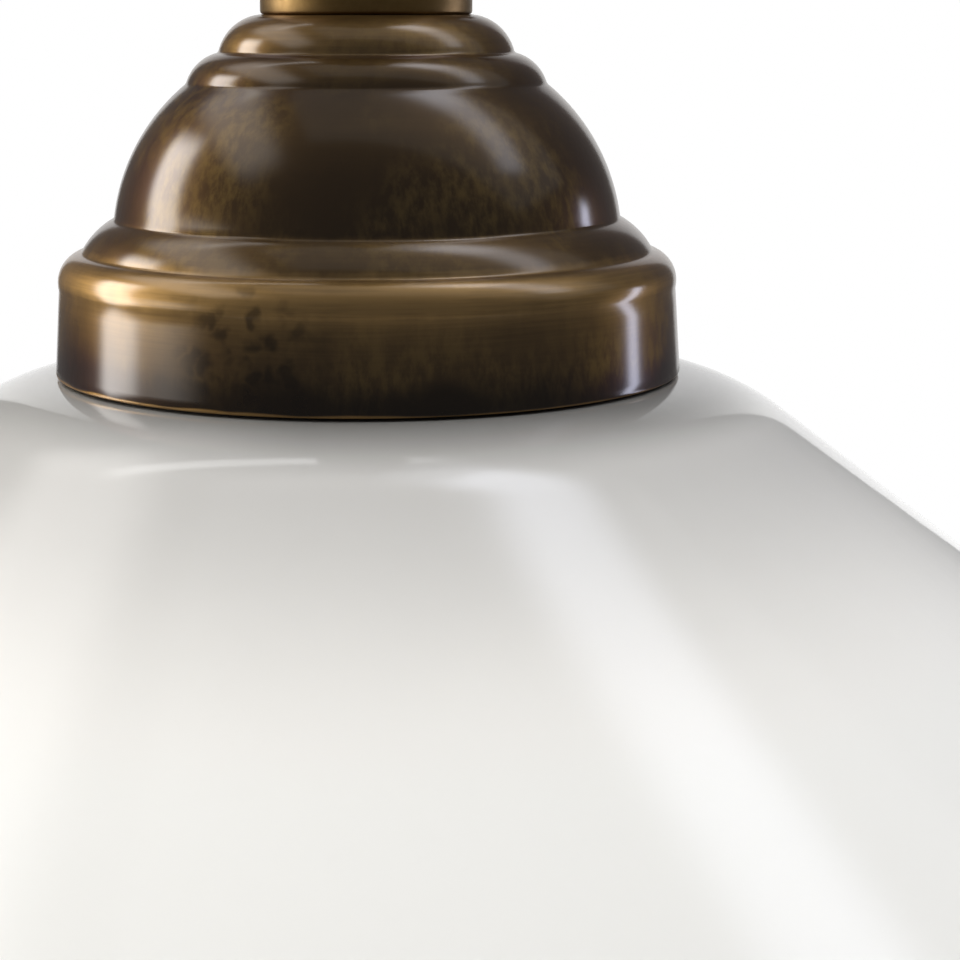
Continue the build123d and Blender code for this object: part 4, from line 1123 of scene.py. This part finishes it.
panel("soft_box_left", beside(-106, 13, 0.94), LEFT_TILT, 0.44, 0.94, 9.0, WARM, (0.5, 0.35), spreads=False)
panel("fill_left", beside(-106, 13, 0.9), LEFT_TILT, 0.42, 0.9, 3.2, WARM, (0.5, 0.35), mirrored=False)
panel("glow_left", beside(-80, 4, 0.9), (0.1, 1.0, 0.0), 0.78, 0.34, 3.0, "#fffbf4", (0.9, 0.5))
panel("halo_left", beside(-100, 50, 1.0), (0.2, 0.9, 0.0), 1.5, 0.5, 1.8, WARM, (0.5, 0.7))
panel("soft_box_right", beside(109, -3, 0.9), (0.3, -0.9, 0.4), 0.12, 0.55, 9.0, COOLER, (0.4, 0.3))
panel("strip_above", (0.67, 0.057, 1.0), STRIP_RUN, 1.24, 0.42, 2.9, COOL, (0.22, 0.8))
panel("strip_near_end", (0.27, 0.21, 1.0), STRIP_RUN, 0.6, 0.46, 1.6, COOL, (0.7, 0.8))
panel("diffuser_above", (0.48, -0.09, 1.05), ALONG, 2.4, 1.0, 0.3)
panel("diffuser_edge", (-0.25, 0.5, 1.05), ALONG, 1.0, 0.16, 2.2, fade=(0.5, 0.8))
panel("soft_above", (-0.02, -0.32, 1.1), ALONG, 1.6, 1.2, 1.74, mirrored=False)
panel("fill_right", beside(60, 45, 1.0), (0.5, 0.8, 0.0), 0.6, 0.6, 0.6, fade=(1.0, 1.0), mirrored=False)
world = bpy.data.worlds.new("studio")
bpy.context.scene.world = world
world.use_nodes = True
sky = world.node_tree.nodes["Background"]
sky.inputs["Color"].default_value = linear("#ffffff")
sky.inputs["Strength"].default_value = SKY_LEVEL

# %% [markdown]
# ## Floor and backdrop
# A pale floor lies below the lamp and a white card stands behind it, as on a product table.
# Both are seen from one side only, so that the lamp can be looked at from below and from behind.
# The card is white to the eye, and in mirrors and glass, without lighting the lamp. It fades to its top,
# so that the glass mirrors it at its far edge with no hard line.

# %% Floor and backdrop
CARD_FADE_FOOT, CARD_FADE_TOP = 0.0, 0.8


def stage_sheet(name, width, depth, location, rotation, tone, glow):
    """A sheet of paper on the stage, seen from one side. One that glows is white to the eye."""
    bpy.ops.object.select_all(action="DESELECT")
    bpy.ops.mesh.primitive_plane_add(size=1.0, location=location, rotation=rotation)
    sheet = bpy.context.active_object
    sheet.name = name
    sheet.scale = (width, depth, 1.0)
    bpy.ops.object.transform_apply(location=False, rotation=False, scale=True)
    material, tree, output = blank(name + "_paper")
    side = add(tree, "ShaderNodeNewGeometry")
    paper = add(tree, "ShaderNodeBsdfDiffuse", inputs={"Color": linear(tone)})
    shown = paper.outputs[0]
    if glow:
        ray = add(tree, "ShaderNodeLightPath")
        mirrored = add(
            tree,
            "ShaderNodeMath",
            {"operation": "MAXIMUM"},
            {0: ray.outputs["Is Camera Ray"], 1: ray.outputs["Is Glossy Ray"]},
        )
        seen = add(
            tree,
            "ShaderNodeMath",
            {"operation": "MAXIMUM"},
            {0: mirrored.outputs[0], 1: ray.outputs["Is Transmission Ray"]},
        )
        place = add(tree, "ShaderNodeSeparateXYZ", inputs={0: side.outputs["Position"]})
        fading = add(
            tree,
            "ShaderNodeMapRange",
            {"interpolation_type": "SMOOTHSTEP"},
            {
                "Value": place.outputs["Z"],
                "From Min": CARD_FADE_FOOT,
                "From Max": CARD_FADE_TOP,
                "To Min": 1.0,
                "To Max": 0.0,
            },
        )
        white = add(
            tree, "ShaderNodeEmission", inputs={"Color": linear("#ffffff"), "Strength": fading.outputs[0]}
        )
        card = add(
            tree, "ShaderNodeMixShader", inputs={0: seen.outputs[0], 1: paper.outputs[0], 2: white.outputs[0]}
        )
        shown = card.outputs[0]
    through = add(tree, "ShaderNodeBsdfTransparent")
    one_sided = add(
        tree, "ShaderNodeMixShader", inputs={0: side.outputs["Backfacing"], 1: shown, 2: through.outputs[0]}
    )
    tree.links.new(one_sided.outputs[0], output.inputs["Surface"])
    sheet.data.materials.append(material)


stage_sheet("floor", 1.6, 1.6, (0.0, -0.17, -0.45), LEVEL, "#e6e5e3", False)
stage_sheet("backdrop_card", 0.9, 1.3, (0.07, 0.9, 0.16), FACING_ROOM, "#f4f4f4", True)
print("stage: floor and card")
